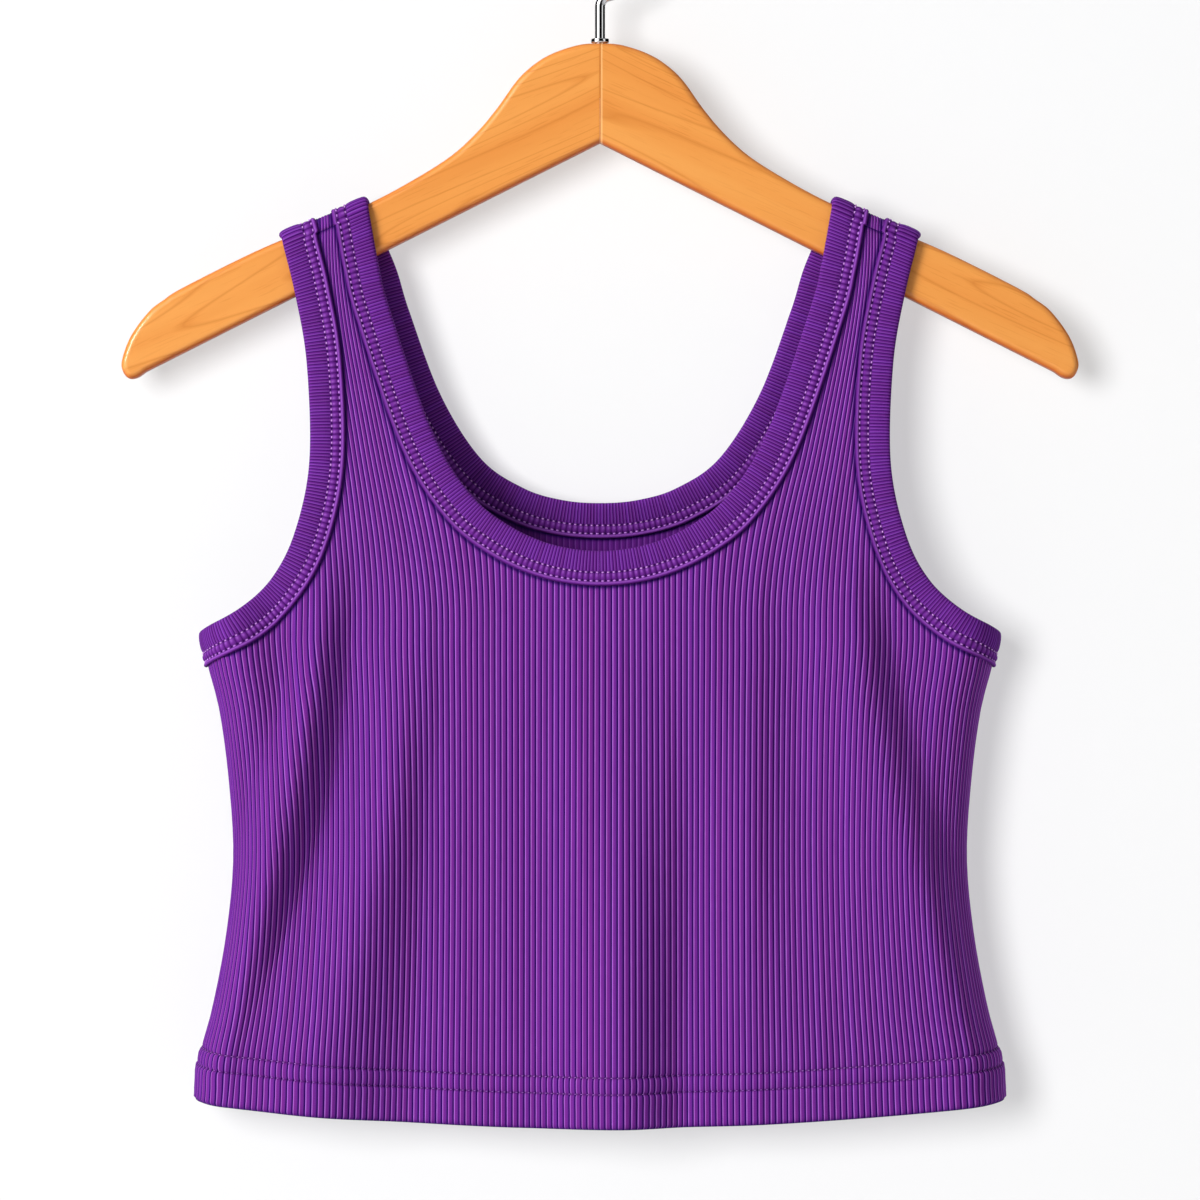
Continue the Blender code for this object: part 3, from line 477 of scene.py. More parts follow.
@dataclass(frozen=True)
class WoodFinish:
    """Lacquered honey wood whose grain runs along one arm."""

    name: str
    grain_angle: float
    light: Colour = (0.825, 0.358, 0.082)
    middle: Colour = (0.770, 0.298, 0.058)
    dark: Colour = (0.705, 0.238, 0.038)
    line: Colour = (0.580, 0.175, 0.018)
    # edge: painted shade multiplied onto the rounded edges
    edge: Colour = (0.920, 0.700, 0.440)
    # painted shade multiplied onto faces turned down
    painted_underside_shade: Colour = (0.780, 0.520, 0.060)
    gleam: Colour = (0.980, 0.620, 0.270)
    figure_scale: tuple[float, float] = (3.4, 60.0)
    year_scale: tuple[float, float] = (2.2, 24.0)
    year_count: float = 19.0
    pore_scale: tuple[float, float] = (60.0, 1300.0)
    seam_line: SoftLine = (0.0, 0.45 * MM, 0.80)
    seam_gleam: SoftLine = (0.80 * MM, 0.34 * MM, 0.60)

    def build(self) -> bpy.types.Material:
        """Material with year lines, long soft figure and short dark pores under a lacquer, painted shade on
        the rounded edges, more painted shade on faces turned down, and a painted highlight beside the seam.

        Returns:
            The material.
        """
        board = NodeBoard(self.name)
        place = board.add("ShaderNodeTexCoord").outputs["Object"]
        turn = {"Vector": place, "Rotation": (0.0, self.grain_angle, 0.0)}
        turned = board.add("ShaderNodeMapping", turn).outputs[0]
        figure = board.noise(self.stretched(board, turned, *self.figure_scale), 1.0, 3.0)
        colour = board.ramp(figure, [(0.30, self.dark), (0.50, self.middle), (0.70, self.light)])
        colour = board.mix(0.62, self.middle, colour)
        contour = board.noise(self.stretched(board, turned, *self.year_scale), 1.0, 1.0)
        rings = board.math("PINGPONG", board.math("MULTIPLY", contour, self.year_count), 0.5)
        line = board.ramp(rings, [(0.0, grey(1.0)), (0.03, grey(0.60)), (0.11, grey(0.0))])
        colour = board.mix(board.math("MULTIPLY", line, 0.58), colour, self.line)
        pores = board.noise(self.stretched(board, turned, *self.pore_scale), 1.0)
        dots = board.ramp(pores, [(0.32, grey(1.0)), (0.42, grey(0.0))])
        patch = board.ramp(figure, [(0.40, grey(1.0)), (0.62, grey(0.35))])
        marks = board.math("MULTIPLY", dots, patch)
        colour = board.mix(board.math("MULTIPLY", marks, 0.40), colour, self.line)
        normal = board.add("ShaderNodeNewGeometry").outputs["Normal"]
        facing = board.add("ShaderNodeSeparateXYZ", {0: normal}).outputs
        # painted shade on the rounded edges, from the normal
        painted_bevel_shade = board.fade(board.math("ABSOLUTE", facing[1]), 0.55, 0.97)
        colour = board.mix(painted_bevel_shade, colour, board.mix(1.0, colour, self.edge, "MULTIPLY"))
        # painted shade on faces turned down, from the normal
        under = board.fade(board.math("MULTIPLY", facing[2], -1.0), 0.15, 0.75, 0.0, 1.0)
        colour = board.mix(under, colour, board.mix(1.0, colour, self.painted_underside_shade, "MULTIPLY"))
        beside = board.add("ShaderNodeSeparateXYZ", {0: place}).outputs[0]
        colour = board.soft_line(colour, self.line, board.math("ABSOLUTE", beside), *self.seam_line)
        colour = board.soft_line(colour, self.gleam, beside, *self.seam_gleam)
        board.bump(pores, 0.05 * MM, 0.5)
        return board.dress(
            Base_Color=colour, Roughness=0.42, Specular_IOR_Level=0.3, Coat_Weight=0.40, Coat_Roughness=0.12
        )

    def stretched(self, board: NodeBoard, place: Socket, along: float, across: float) -> Socket:
        """Places drawn out along the grain, from features per metre along and across it."""
        inputs = {"Vector": place, "Scale": (along, across, across)}
        return board.add("ShaderNodeMapping", inputs).outputs[0]


@dataclass(frozen=True)
class WireFinish:
    """Polished chrome wire with faint drawing marks."""

    name: str

    def build(self) -> bpy.types.Material:
        """Metal material.

        Returns:
            The material.
        """
        board = NodeBoard(self.name)
        place = board.add("ShaderNodeTexCoord").outputs["Object"]
        marks = board.noise(place, 320.0, 3.0)
        colour = board.mix(marks, (0.74, 0.74, 0.75), (0.86, 0.86, 0.87))
        rough = board.math("MULTIPLY_ADD", marks, 0.05, 0.04)
        return board.dress(Base_Color=colour, Metallic=1.0, Roughness=rough)


@dataclass(frozen=True)
class StageFinish:
    """Matt white of the studio. The wall is clear from behind, so that it hides nothing from there."""

    name: str
    colour: Colour
    clear_from_behind: bool = False
    glow: float = 0.0

    def build(self) -> bpy.types.Material:
        """Diffuse material, with a clear back where it is asked for.

        Returns:
            The material.
        """
        board = NodeBoard(self.name)
        place = board.add("ShaderNodeTexCoord").outputs["Object"]
        paint = board.noise(place, 3.0)
        softer = tuple(0.985 * part for part in self.colour)
        white = board.mix(paint, softer, self.colour)
        board.dress(
            Base_Color=white, Roughness=0.95, Specular_IOR_Level=0.0, Emission_Color=(1.0, 1.0, 1.0),
            Emission_Strength=self.glow,
        )
        if self.clear_from_behind:
            back = board.add("ShaderNodeNewGeometry").outputs["Backfacing"]
            clear = board.add("ShaderNodeBsdfTransparent").outputs[0]
            inputs = {0: back, 1: board.shader.outputs[0], 2: clear}
            both = board.add("ShaderNodeMixShader", inputs).outputs[0]
            output = board.tree.nodes["Material Output"]
            board.tree.links.new(both, output.inputs["Surface"])
        return board.material


@dataclass(frozen=True)
class SurroundFinish:
    """Bright and dark upright fields round the studio, which polished metal mirrors.

    Each stop holds a share of the full turn, counted from straight behind over the left, and a brightness.
    """

    name: str
    stops: tuple[tuple[float, float], ...] = (
        (0.04, 0.0), (0.06, 0.90), (0.10, 0.90), (0.12, 0.0), (0.27, 0.0), (0.31, 0.60), (0.34, 1.80),
        (0.44, 1.40), (0.47, 0.10), (0.49, 0.0), (0.60, 0.0), (0.635, 0.60), (0.665, 1.30), (0.70, 0.20),
        (0.72, 0.0), (0.91, 0.0), (0.93, 0.60), (0.95, 0.60), (0.97, 0.0),
    )

    def build(self) -> bpy.types.Material:
        """Glowing material whose brightness follows the way round.

        Returns:
            The material.
        """
        board = NodeBoard(self.name)
        place = board.add("ShaderNodeTexCoord").outputs["Object"]
        parts = board.add("ShaderNodeSeparateXYZ", {0: place}).outputs
        turn = board.math("ARCTAN2", parts[0], board.math("MULTIPLY", parts[1], -1.0))
        share = board.math("MULTIPLY_ADD", turn, 0.5 / math.pi, 0.5)
        glow = board.ramp(share, [(spot, grey(level)) for spot, level in self.stops])
        return board.dress(
            Base_Color=(0.0, 0.0, 0.0), Specular_IOR_Level=0.0, Emission_Color=glow, Emission_Strength=1.0
        )


# ---------------------------------------------------------------- form of the hung cloth
def smooth_table(places: np.ndarray, values: np.ndarray, at: np.ndarray) -> np.ndarray:
    """Smooth curve through the rows of a table, level past its ends.

    Args:
        places: places of the rows, rising.
        values: their values.
        at: places to read.

    Returns:
        Values.
    """
    spot = np.clip(at, places[0], places[-1])
    index = np.clip(np.searchsorted(places, spot, side="right") - 1, 0, len(places) - 2)
    slopes = np.empty(len(places))
    slopes[1:-1] = (values[2:] - values[:-2]) / (places[2:] - places[:-2])
    slopes[0] = (values[1] - values[0]) / (places[1] - places[0])
    slopes[-1] = (values[-1] - values[-2]) / (places[-1] - places[-2])
    span = places[index + 1] - places[index]
    t = (spot - places[index]) / span
    value = (2 * t**3 - 3 * t**2 + 1) * values[index]
    value += (t**3 - 2 * t**2 + t) * span * slopes[index]
    value += (-2 * t**3 + 3 * t**2) * values[index + 1]
    value += (t**3 - t**2) * span * slopes[index + 1]
    return value


def spline(points: np.ndarray, steps: int) -> np.ndarray:
    """Smooth curve through points; the first and the last only guide its ends.

    Args:
        points: points in order, with a guide at each end.
        steps: places in each stretch.

    Returns:
        Places, up to the one before the curve's last point.
    """
    t = np.linspace(0.0, 1.0, steps, endpoint=False)[:, None]
    stretches = []
    for a, b, c, d in zip(points, points[1:], points[2:], points[3:]):
        stretches.append(
            (a * (-t + 2 * t**2 - t**3) + b * (2 - 5 * t**2 + 3 * t**3)) / 2
            + (c * (t + 4 * t**2 - 3 * t**3) + d * (t**3 - t**2)) / 2
        )
    return np.vstack(stretches)


@dataclass(frozen=True)
class FoldLine:
    """A crest or trough that runs down the cloth: its place and height at each level, in millimetres."""

    places: tuple[float, ...]
    heights: tuple[float, ...]


EDGE_LINE = FoldLine((196.0, 188.0, 181.0, 179.0, 185.0, 190.0, 190.0), (0.0,) * 7)
FAR_EDGE_LINE = FoldLine(tuple(-place for place in EDGE_LINE.places), EDGE_LINE.heights)


@dataclass(frozen=True)
class Folds:
    """Folds of one sheet: crests and troughs side by side, each rounded into the next."""

    lines: tuple[FoldLine, ...]
    levels: tuple[float, ...] = (-563.0, -518.0, -467.0, -411.0, -356.0, -328.0, -292.0)
    fine_step: float = 1.0

    @cached_property
    def fine(self) -> tuple[np.ndarray, list[np.ndarray], list[np.ndarray]]:
        """Close levels, with the place and height of every line at each.

        Returns:
            Levels, places and heights, in millimetres.
        """
        coarse = np.array(self.levels)
        levels = np.arange(coarse[0], coarse[-1] + self.fine_step, self.fine_step)
        lines = (FAR_EDGE_LINE, *self.lines, EDGE_LINE)
        places = [smooth_table(coarse, np.array(line.places), levels) for line in lines]
        heights = [smooth_table(coarse, np.array(line.heights), levels) for line in lines]
        return levels, places, heights

    def lift(self, s: np.ndarray, v: np.ndarray) -> np.ndarray:
        """How far the folds push the cloth out, in metres.

        Args:
            s: places along the cloth.
            v: heights.

        Returns:
            Distances.
        """
        levels, places, heights = self.fine
        height_at = v / MM
        total = np.zeros(np.shape(s))
        left = np.interp(height_at, levels, places[0])
        low = np.interp(height_at, levels, heights[0])
        for line_places, line_heights in zip(places[1:], heights[1:]):
            right = np.interp(height_at, levels, line_places)
            high = np.interp(height_at, levels, line_heights)
            total = total + (high - low) * smoothstep(left, right, s / MM)
            left = right
            low = high
        return total * MM


@dataclass(frozen=True)
class DrapedForm:
    """The form that the cloth hangs in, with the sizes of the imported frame. Tables are in millimetres."""

    side_z: tuple[float, ...] = (
        -570.0, -550.6, -532.0, -508.8, -474.0, -439.2, -404.4, -369.6, -346.4, -333.4, -100.0,
    )
    side_half_width: tuple[float, ...] = (
        190.0, 187.0, 185.2, 179.1, 172.6, 169.4, 171.3, 175.9, 181.9, 184.2, 184.2,
    )
    depth_z: tuple[float, ...] = (-570.0, -345.0, -215.0, -188.0, -80.0)
    depth_half: tuple[float, ...] = (23.5, 22.0, 8.6, 7.6, 7.6)
    depth_crown: tuple[float, ...] = (5.0, 4.0, 0.0, 0.0, 0.0)
    depth_softening: float = 4.0 * MM
    underarm_z: float = -333.4 * MM
    rib_pitch: float = 2.69 * MM
    ribs_per_half: int = 73
    hem_middle_z: float = -563.1 * MM
    hem_side_z: float = -550.6 * MM
    hem_reach: float = 199.0 * MM
    strap_zone_x: float = 107.7 * MM
    strap_zone_z: float = -134.7 * MM
    strap_slope: float = 0.4215
    hem_corner: tuple[float, float] = (194.0 * MM, 201.0 * MM)
    hem_corner_rise: float = 2.4 * MM
    lean_levels: tuple[float, float] = (-330 * MM, -150 * MM)
    lean_reach: tuple[float, float] = (30 * MM, 85 * MM)
    strap_foot: float = 111.0 * MM
    strap_shift: float = 17.5 * MM
    strap_narrowing: float = 0.5
    turn_radius: float = 5.6 * MM
    turn_flat_half: float = 2.0 * MM
    apex_lift: float = 1.736 * MM
    front_folds: Folds = Folds(
        (
            FoldLine((-194, -186, -179.5, -174, -167, -172, -178), (0, 0, 0, 0.4, 1.5, 1.0, 0)),
            FoldLine((-190, -184, -177, -163, -146, -150, -158), (0, -0.3, -1.0, -1.9, -2.6, -1.8, 0)),
            FoldLine((-182, -173, -160, -144, -133, -129, -126), (0.7, 2.8, 6.0, 7.2, 5.8, 4.0, 0)),
            FoldLine((-172, -161, -143, -126, -117, -114, -112), (-0.4, -1.8, -4.2, -5.2, -4.6, -3.4, 0)),
            FoldLine((-134, -124, -110, -97, -89, -86, -84), (5.6, 6.6, 5.8, 3.8, 1.3, 0.5, 0)),
            FoldLine((-88, -84, -80, -77, -70, -68, -66), (-6.2, -6.8, -5.6, -3.4, -1.6, -0.8, 0)),
            FoldLine((-34, -34, -34, -34, -34, -34, -34), (-2.2, -2.6, -2.2, -1.4, -0.6, -0.2, 0)),
            FoldLine((10, 10, 10, 9, 4, 2, 0), (6.8, 7.8, 7.0, 4.2, 1.6, 0.6, 0)),
            FoldLine((40, 40, 42, 44, 40, 38, 36), (-4.6, -5.0, -4.2, -2.0, -0.8, -0.3, 0)),
            FoldLine((76, 72, 68, 67, 66, 65, 64), (0, 0.4, 0.9, 1.5, 1.2, 0.5, 0)),
            FoldLine((98, 94, 90, 88, 88, 86, 84), (0, -0.4, -1.3, -2.4, -2.2, -1.0, 0)),
            FoldLine((178, 168, 151, 135, 121, 117, 113), (0.6, 2.4, 5.2, 6.6, 5.8, 4.0, 0)),
            FoldLine((188, 180, 170, 156, 140, 135, 130), (0, -0.8, -2.4, -4.0, -4.6, -3.6, 0)),
        )
    )
    back_folds: Folds = Folds(
        (
            FoldLine((-178, -170, -158, -142, -128, -124, -120), (0.4, 1.6, 3.6, 4.4, 3.4, 2.2, 0)),
            FoldLine((-160, -150, -136, -120, -108, -104, -100), (-0.3, -1.2, -2.4, -3.0, -2.6, -1.6, 0)),
            FoldLine((-116, -110, -102, -92, -82, -80, -78), (2.2, 2.8, 3.2, 2.4, 0.8, 0.4, 0)),
            FoldLine((-48, -47, -46, -45, -44, -43, -42), (-2.2, -2.6, -2.4, -1.4, -0.5, -0.2, 0)),
            FoldLine((12, 12, 11, 10, 9, 8, 8), (2.0, 2.4, 2.2, 1.4, 0.4, 0.2, 0)),
            FoldLine((72, 70, 66, 61, 58, 57, 56), (-2.2, -2.6, -2.4, -1.6, -0.6, -0.3, 0)),
            FoldLine((108, 106, 103, 98, 94, 92, 90), (1.8, 2.4, 3.0, 3.0, 1.8, 1.0, 0)),
            FoldLine((150, 142, 134, 124, 115, 112, 108), (-0.4, -1.2, -2.2, -2.8, -2.4, -1.4, 0)),
            FoldLine((178, 170, 158, 145, 134, 131, 128), (0.4, 1.4, 3.0, 3.6, 3.0, 2.0, 0)),
        )
    )

    @property
    def turn_quarter(self) -> float:
        """Length of a strap's quarter turn over the edge of the arm."""
        return math.pi / 2 * self.turn_radius

    @property
    def over_length(self) -> float:
        """Length of a strap's whole turn over the arm."""
        return 2 * (self.turn_quarter + self.turn_flat_half)

    def half_width(self, z: np.ndarray) -> np.ndarray:
        """Half width of the body at a height, on a smooth curve; level above the underarm."""
        height = np.minimum(z, self.underarm_z) / MM
        return smooth_table(np.array(self.side_z), np.array(self.side_half_width), height) * MM

    def depth(self, z: np.ndarray, column: tuple[float, ...]) -> np.ndarray:
        """A depth of the body at a height, with the table's corners softened.

        Args:
            z: heights.
            column: depth_half or depth_crown.

        Returns:
            Depths.
        """
        total = 0.0
        for shift, weight in ((-1, 0.25), (0, 0.5), (1, 0.25)):
            level = (z + shift * self.depth_softening) / MM
            total = total + weight * np.interp(level, self.depth_z, column)
        return total * MM

    def side_length(self, z: np.ndarray) -> np.ndarray:
        """Length of cloth from the centre line to the side seam at a height."""
        radius = self.depth(z, self.depth_half)
        return self.half_width(z) - radius + math.pi / 2 * radius

    def sheet_distance(self, x: np.ndarray, z: np.ndarray) -> np.ndarray:
        """Length along the cloth to the place that is seen at x from the front.

        Args:
            x: distances from the centre line, not negative.
            z: heights.

        Returns:
            Lengths.
        """
        radius = self.depth(z, self.depth_half)
        flat = self.half_width(z) - radius
        past = np.clip((x - flat) / radius, 0.0, 1.0)
        return np.where(x <= flat, x, flat + radius * np.arcsin(past))

    def turn_start(self, s: np.ndarray) -> np.ndarray:
        """Height at which a strap begins to turn over the hanger's arm, at a place along the cloth."""
        wood_top = self.strap_zone_z - self.strap_slope * (np.abs(s) - self.strap_zone_x)
        return wood_top + self.apex_lift - self.turn_radius

    def hem_z(self, s: np.ndarray) -> np.ndarray:
        """Height of the hem's edge, which rises to the sides and is rounded off at the seam.

        Args:
            s: places along the cloth.

        Returns:
            Heights.
        """
        share = np.clip(np.abs(s) / self.hem_reach, 0.0, 1.0)
        corner = smoothstep(*self.hem_corner, np.abs(s)) ** 2
        rise = (self.hem_side_z - self.hem_middle_z) * share**2
        return self.hem_middle_z + rise + self.hem_corner_rise * corner

    def base(self, side: np.ndarray, s: np.ndarray, v: np.ndarray) -> np.ndarray:
        """Points of the cloth's inner face.

        Args:
            side: -1 on the front sheet and 1 on the back sheet.
            s: places along the cloth.
            v: places up the cloth.

        Returns:
            Points, in the last axis.
        """
        side, s, v = np.broadcast_arrays(side, s, v)
        radius = self.depth(v, self.depth_half)
        flat = self.half_width(v) - radius
        distance = np.abs(s)
        crown = self.depth(v, self.depth_crown) * (1 - np.clip(distance / flat, 0, 1) ** 2) ** 2
        angle = np.maximum((distance - flat) / radius, 0.0)
        on_flat = distance <= flat
        x = np.where(on_flat, distance, flat + radius * np.sin(angle))
        y = np.where(on_flat, radius + crown, radius * np.cos(angle))
        y = side * (y + np.where(side < 0, self.front_folds.lift(s, v), self.back_folds.lift(s, v)))
        x = np.sign(s) * x
        z = v.astype(float)

        start = self.turn_start(s)
        rise = v - start
        quarter = self.turn_quarter
        flat_half = self.turn_flat_half
        turn = self.turn_radius
        first = np.clip(rise / turn, 0.0, math.pi / 2)
        last = np.clip((rise - 2 * flat_half) / turn, math.pi / 2, math.pi)
        middle = np.clip(rise - quarter, 0.0, 2 * flat_half)
        across = flat_half + turn * np.cos(first) - middle + turn * np.cos(last)
        top = start + turn * np.where(last > math.pi / 2, np.sin(last), np.sin(first))
        top = top - np.maximum(rise - self.over_length, 0.0)
        turned = rise > 0
        y = np.where(turned, side * across, y)
        z = np.where(turned, top, z)
        x = np.where(turned, s, x)
        return np.stack([x, y, z], axis=-1)

    def lay(self, side: np.ndarray, s: np.ndarray, v: np.ndarray, out: np.ndarray) -> np.ndarray:
        """Points that stand out from the cloth's inner face along its outward normal.

        Args:
            side: -1 on the front sheet and 1 on the back sheet.
            s: places along the cloth.
            v: places up the cloth.
            out: distances.

        Returns:
            Points, in the last axis.
        """
        reach = 0.4 * MM
        across = self.base(side, s + reach, v) - self.base(side, s - reach, v)
        along = self.base(side, s, v + reach) - self.base(side, s, v - reach)
        normal = np.cross(across, along) * -np.broadcast_to(side, np.shape(s))[..., None]
        normal /= np.linalg.norm(normal, axis=-1, keepdims=True)
        return self.base(side, s, v) + normal * np.broadcast_to(out, np.shape(s))[..., None]

    def column_s(self, ribs: np.ndarray, v: np.ndarray) -> np.ndarray:
        """Place of a rib in the sheet: upright in the middle, curved at the sides, leaning in a strap.

        Args:
            ribs: ribs counted from the centre line.
            v: heights.

        Returns:
            Places along the cloth.
        """
        flat_s = ribs * self.rib_pitch
        whole = self.ribs_per_half * self.rib_pitch
        stretch = self.side_length(np.minimum(v, self.underarm_z)) / whole - 1
        s = flat_s * (1 + stretch * (flat_s / whole) ** 2)
        lean = smoothstep(*self.lean_levels, v) * smoothstep(*self.lean_reach, np.abs(s))
        beside = (np.abs(s) - self.strap_foot) * (1 - self.strap_narrowing * lean)
        distance = self.strap_foot + self.strap_shift * lean + beside
        return np.where(lean > 0, np.sign(s) * distance, s)


FORM = DrapedForm()


# ---------------------------------------------------------------- finished edges
@dataclass(frozen=True)
class EdgeRun:
    """A run of places on a finished edge, each with the way into the cloth from there."""

    side: np.ndarray
    s: np.ndarray
    v: np.ndarray
    ds: np.ndarray
    dv: np.ndarray

    def inset(self, distance: float | np.ndarray) -> tuple[np.ndarray, np.ndarray]:
        """Places along and up the cloth that lie a distance, or one for each place, into it."""
        return self.s + self.ds * distance, self.v + self.dv * distance

    def mirrored(self) -> "EdgeRun":
        """The same run at the other side of the centre line."""
        return EdgeRun(self.side, -self.s, self.v, -self.ds, self.dv)

    def reversed(self) -> "EdgeRun":
        """The same run walked the other way."""
        return EdgeRun(*(np.flip(part) for part in (self.side, self.s, self.v, self.ds, self.dv)))

    def part(self, start: int | None, end: int | None) -> "EdgeRun":
        """Stretch of the run, with the place at start and without the one at end."""
        cut = slice(start, end)
        return EdgeRun(self.side[cut], self.s[cut], self.v[cut], self.ds[cut], self.dv[cut])

    def joined(self, *others: "EdgeRun") -> "EdgeRun":
        """This run followed by others.

        Args:
            others: runs to add.

        Returns:
            One run.
        """
        runs = (self, *others)
        names = ("side", "s", "v", "ds", "dv")
        return EdgeRun(*(np.concatenate([getattr(run, name) for run in runs]) for name in names))


@dataclass(frozen=True)
class FinishedEdges:
    """Edges of the right half's neck and armhole, from the front. Rows are x and z in millimetres."""

    front_neck: tuple[tuple[float, float], ...] = (
        (0.0, -296.4), (22.6, -293.2), (43.6, -283.6), (60.9, -268.7), (78.0, -240.1), (97.5, -183.9),
        (102.8, -163.0), (107.3, -138.4),
    )
    back_neck: tuple[tuple[float, float], ...] = (
        (0.0, -273.7), (18.0, -272.2), (36.0, -266.6), (55.7, -252.9), (74.3, -223.5), (89.1, -183.9),
        (95.6, -163.0), (106.6, -138.1),
    )
    armhole: tuple[tuple[float, float], ...] = (
        (184.2, -333.4), (179.1, -330.1), (167.1, -323.1), (152.2, -309.2), (141.6, -288.3), (134.8, -255.0),
        (136.2, -209.0), (141.6, -177.0), (146.9, -155.1),
    )
    neck_apex_x: float = 108.1 * MM
    armhole_apex_x: float = 149.0 * MM
    spacing: float = 0.40 * MM
    band_width: float = 16.4 * MM
    ridge_reach: float = 45 * MM
    seam_reach: float = 9 * MM

    def upright(self, side: Side, rows: tuple[tuple[float, float], ...], inward: int) -> EdgeRun:
        """Edge from its low end to the start of the strap's turn.

        Args:
            side: sheet that it is on.
            rows: its table.
            inward: 1 where the cloth lies outside the edge, -1 where it lies inside.

        Returns:
            The run.
        """
        table = np.array(rows) * MM
        points = np.column_stack([FORM.sheet_distance(table[:, 0], table[:, 1]), table[:, 1]])
        first = np.array([2 * points[0, 0] - points[1, 0], points[1, 1]])
        padded = np.vstack([first, points, 2 * points[-1] - points[-2]])
        dense = np.vstack([spline(padded, 80), points[-1:]])
        length = np.concatenate([[0.0], np.cumsum(np.linalg.norm(np.diff(dense, axis=0), axis=1))])
        count = int(round(length[-1] / self.spacing))
        marks = np.linspace(0.0, length[-1], count + 1)
        s = np.interp(marks, length, dense[:, 0])
        v = np.interp(marks, length, dense[:, 1])
        run_s = np.gradient(s)
        run_v = np.gradient(v)
        norm = np.hypot(run_s, run_v)
        normal = np.column_stack([run_v, -run_s]) / norm[:, None] * inward
        normal[0] = (0.0, -1.0)
        ridge = np.array([inward, -FORM.strap_slope * inward]) / math.hypot(1, FORM.strap_slope)
        share = (1 - smoothstep(0.0, self.ridge_reach, FORM.turn_start(s) - v))[:, None]
        way = normal * (1 - share) + ridge * share
        way /= np.linalg.norm(way, axis=1, keepdims=True)
        way /= np.sum(way * normal, axis=1, keepdims=True)
        if inward < 0:
            near = (1 - smoothstep(0.0, self.seam_reach, marks))[:, None]
            seam_foot = FORM.side_length(v[0] - self.band_width)
            seam_way = np.array([(seam_foot - s[0]) / self.band_width, -1.0])
            way = way * (1 - near) + seam_way * near
        return EdgeRun(np.full(len(s), float(side.value)), s, v, way[:, 0], way[:, 1])

    def turn(self, front_x: float, apex_x: float, back_x: float, inward: int) -> EdgeRun:
        """Edge over the arm, told on the front sheet, without its two ends.

        Args:
            front_x: its place at the front.
            apex_x: its place on top.
            back_x: its place at the back.
            inward: 1 for the neck and -1 for an armhole.

        Returns:
            The run.
        """
        count = int(round(FORM.over_length / self.spacing))
        rise = np.linspace(0.0, FORM.over_length, count + 1)[1:-1]
        half = FORM.over_length / 2
        x = np.interp(rise, [0.0, half, 2 * half], [front_x, apex_x, back_x])
        ways = np.full(len(x), float(inward))
        front = np.full(len(x), float(Side.FRONT.value))
        return EdgeRun(front, x, FORM.turn_start(x) + rise, ways, -FORM.strap_slope * ways)

    def half_ring(self, opening: Opening) -> tuple[EdgeRun, EdgeRun, EdgeRun]:
        """The three stretches of an edge of the right half: up the front, over the arm, and down the back.

        Args:
            opening: which edge.

        Returns:
            The stretches; the last is walked upwards.
        """
        if opening is Opening.NECK:
            front = self.upright(Side.FRONT, self.front_neck, 1)
            back = self.upright(Side.BACK, self.back_neck, 1)
            over = self.turn(float(front.s[-1]), self.neck_apex_x, float(back.s[-1]), 1)
        else:
            front = self.upright(Side.FRONT, self.armhole, -1)
            back = self.upright(Side.BACK, self.armhole, -1)
            over = self.turn(float(front.s[-1]), self.armhole_apex_x, float(back.s[-1]), -1)
        return front, over, back

    def ring(self, opening: Opening) -> EdgeRun:
        """Whole closed edge of an opening.

        Args:
            opening: which edge.

        Returns:
            The run, whose end meets its start.
        """
        front, over, back = self.half_ring(opening)
        if opening is Opening.NECK:
            right = front.joined(over, back.reversed())
            return right.joined(right.part(1, -1).mirrored().reversed())
        run = front.joined(over, back.part(1, None).reversed())
        return run.mirrored() if opening is Opening.ARMHOLE_LEFT else run


EDGES = FinishedEdges()


# ---------------------------------------------------------------- mesh helpers
def new_mesh_object(
    name: str, points: np.ndarray, faces: np.ndarray, maps: dict[str, np.ndarray],
    finish: bpy.types.Material,
) -> bpy.types.Object:
    """Smooth mesh object at the origin.

    Args:
        name: name of the piece.
        points: its points.
        faces: its faces, with equal numbers of corners.
        maps: UV place of each point, by the name of the map.
        finish: its material.

    Returns:
        The object, linked to the scene.
    """
    data = bpy.data.meshes.new(name)
    data.from_pydata(points.reshape(-1, 3).tolist(), [], faces.tolist())
    corners = np.empty(len(data.loops), dtype=np.int32)
    data.loops.foreach_get("vertex_index", corners)
    for layer_name, places in maps.items():
        layer = data.uv_layers.new(name=layer_name)
        layer.data.foreach_set("uv", places.reshape(-1, 2)[corners].astype(np.float32).ravel())
    data.shade_smooth()
    data.materials.append(finish)
    data.update()
    piece = bpy.data.objects.new(name, data)
    bpy.context.scene.collection.objects.link(piece)
    return piece


def declare(piece: bpy.types.Object, node: str | None = None) -> None:
    """Let a piece ride on the root, hide the node that it stands for, and report it.

    Args:
        piece: the piece.
        node: node that it replaces, if there is one.
    """
    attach(piece, "root")
    if node:
        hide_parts(node)
    LOG.info("%s: %d faces", piece.name, len(piece.data.polygons))


def grid_faces(rows: int, columns: int, closed_rows: bool, closed_columns: bool) -> np.ndarray:
    """Quads of a grid whose points are stored row by row.

    Args:
        rows: number of rows.
        columns: points in a row.
        closed_rows: whether the last row meets the first.
        closed_columns: whether the last point of a row meets the first.

    Returns:
        Faces.
    """
    row = np.arange(rows if closed_rows else rows - 1)[:, None]
    column = np.arange(columns if closed_columns else columns - 1)[None, :]
    next_row = (row + 1) % rows
    next_column = (column + 1) % columns
    corners = (
        row * columns + column, row * columns + next_column, next_row * columns + next_column,
        next_row * columns + column,
    )
    shape = (row.shape[0], column.shape[1])
    return np.stack([np.broadcast_to(corner, shape) for corner in corners], axis=-1).reshape(-1, 4)


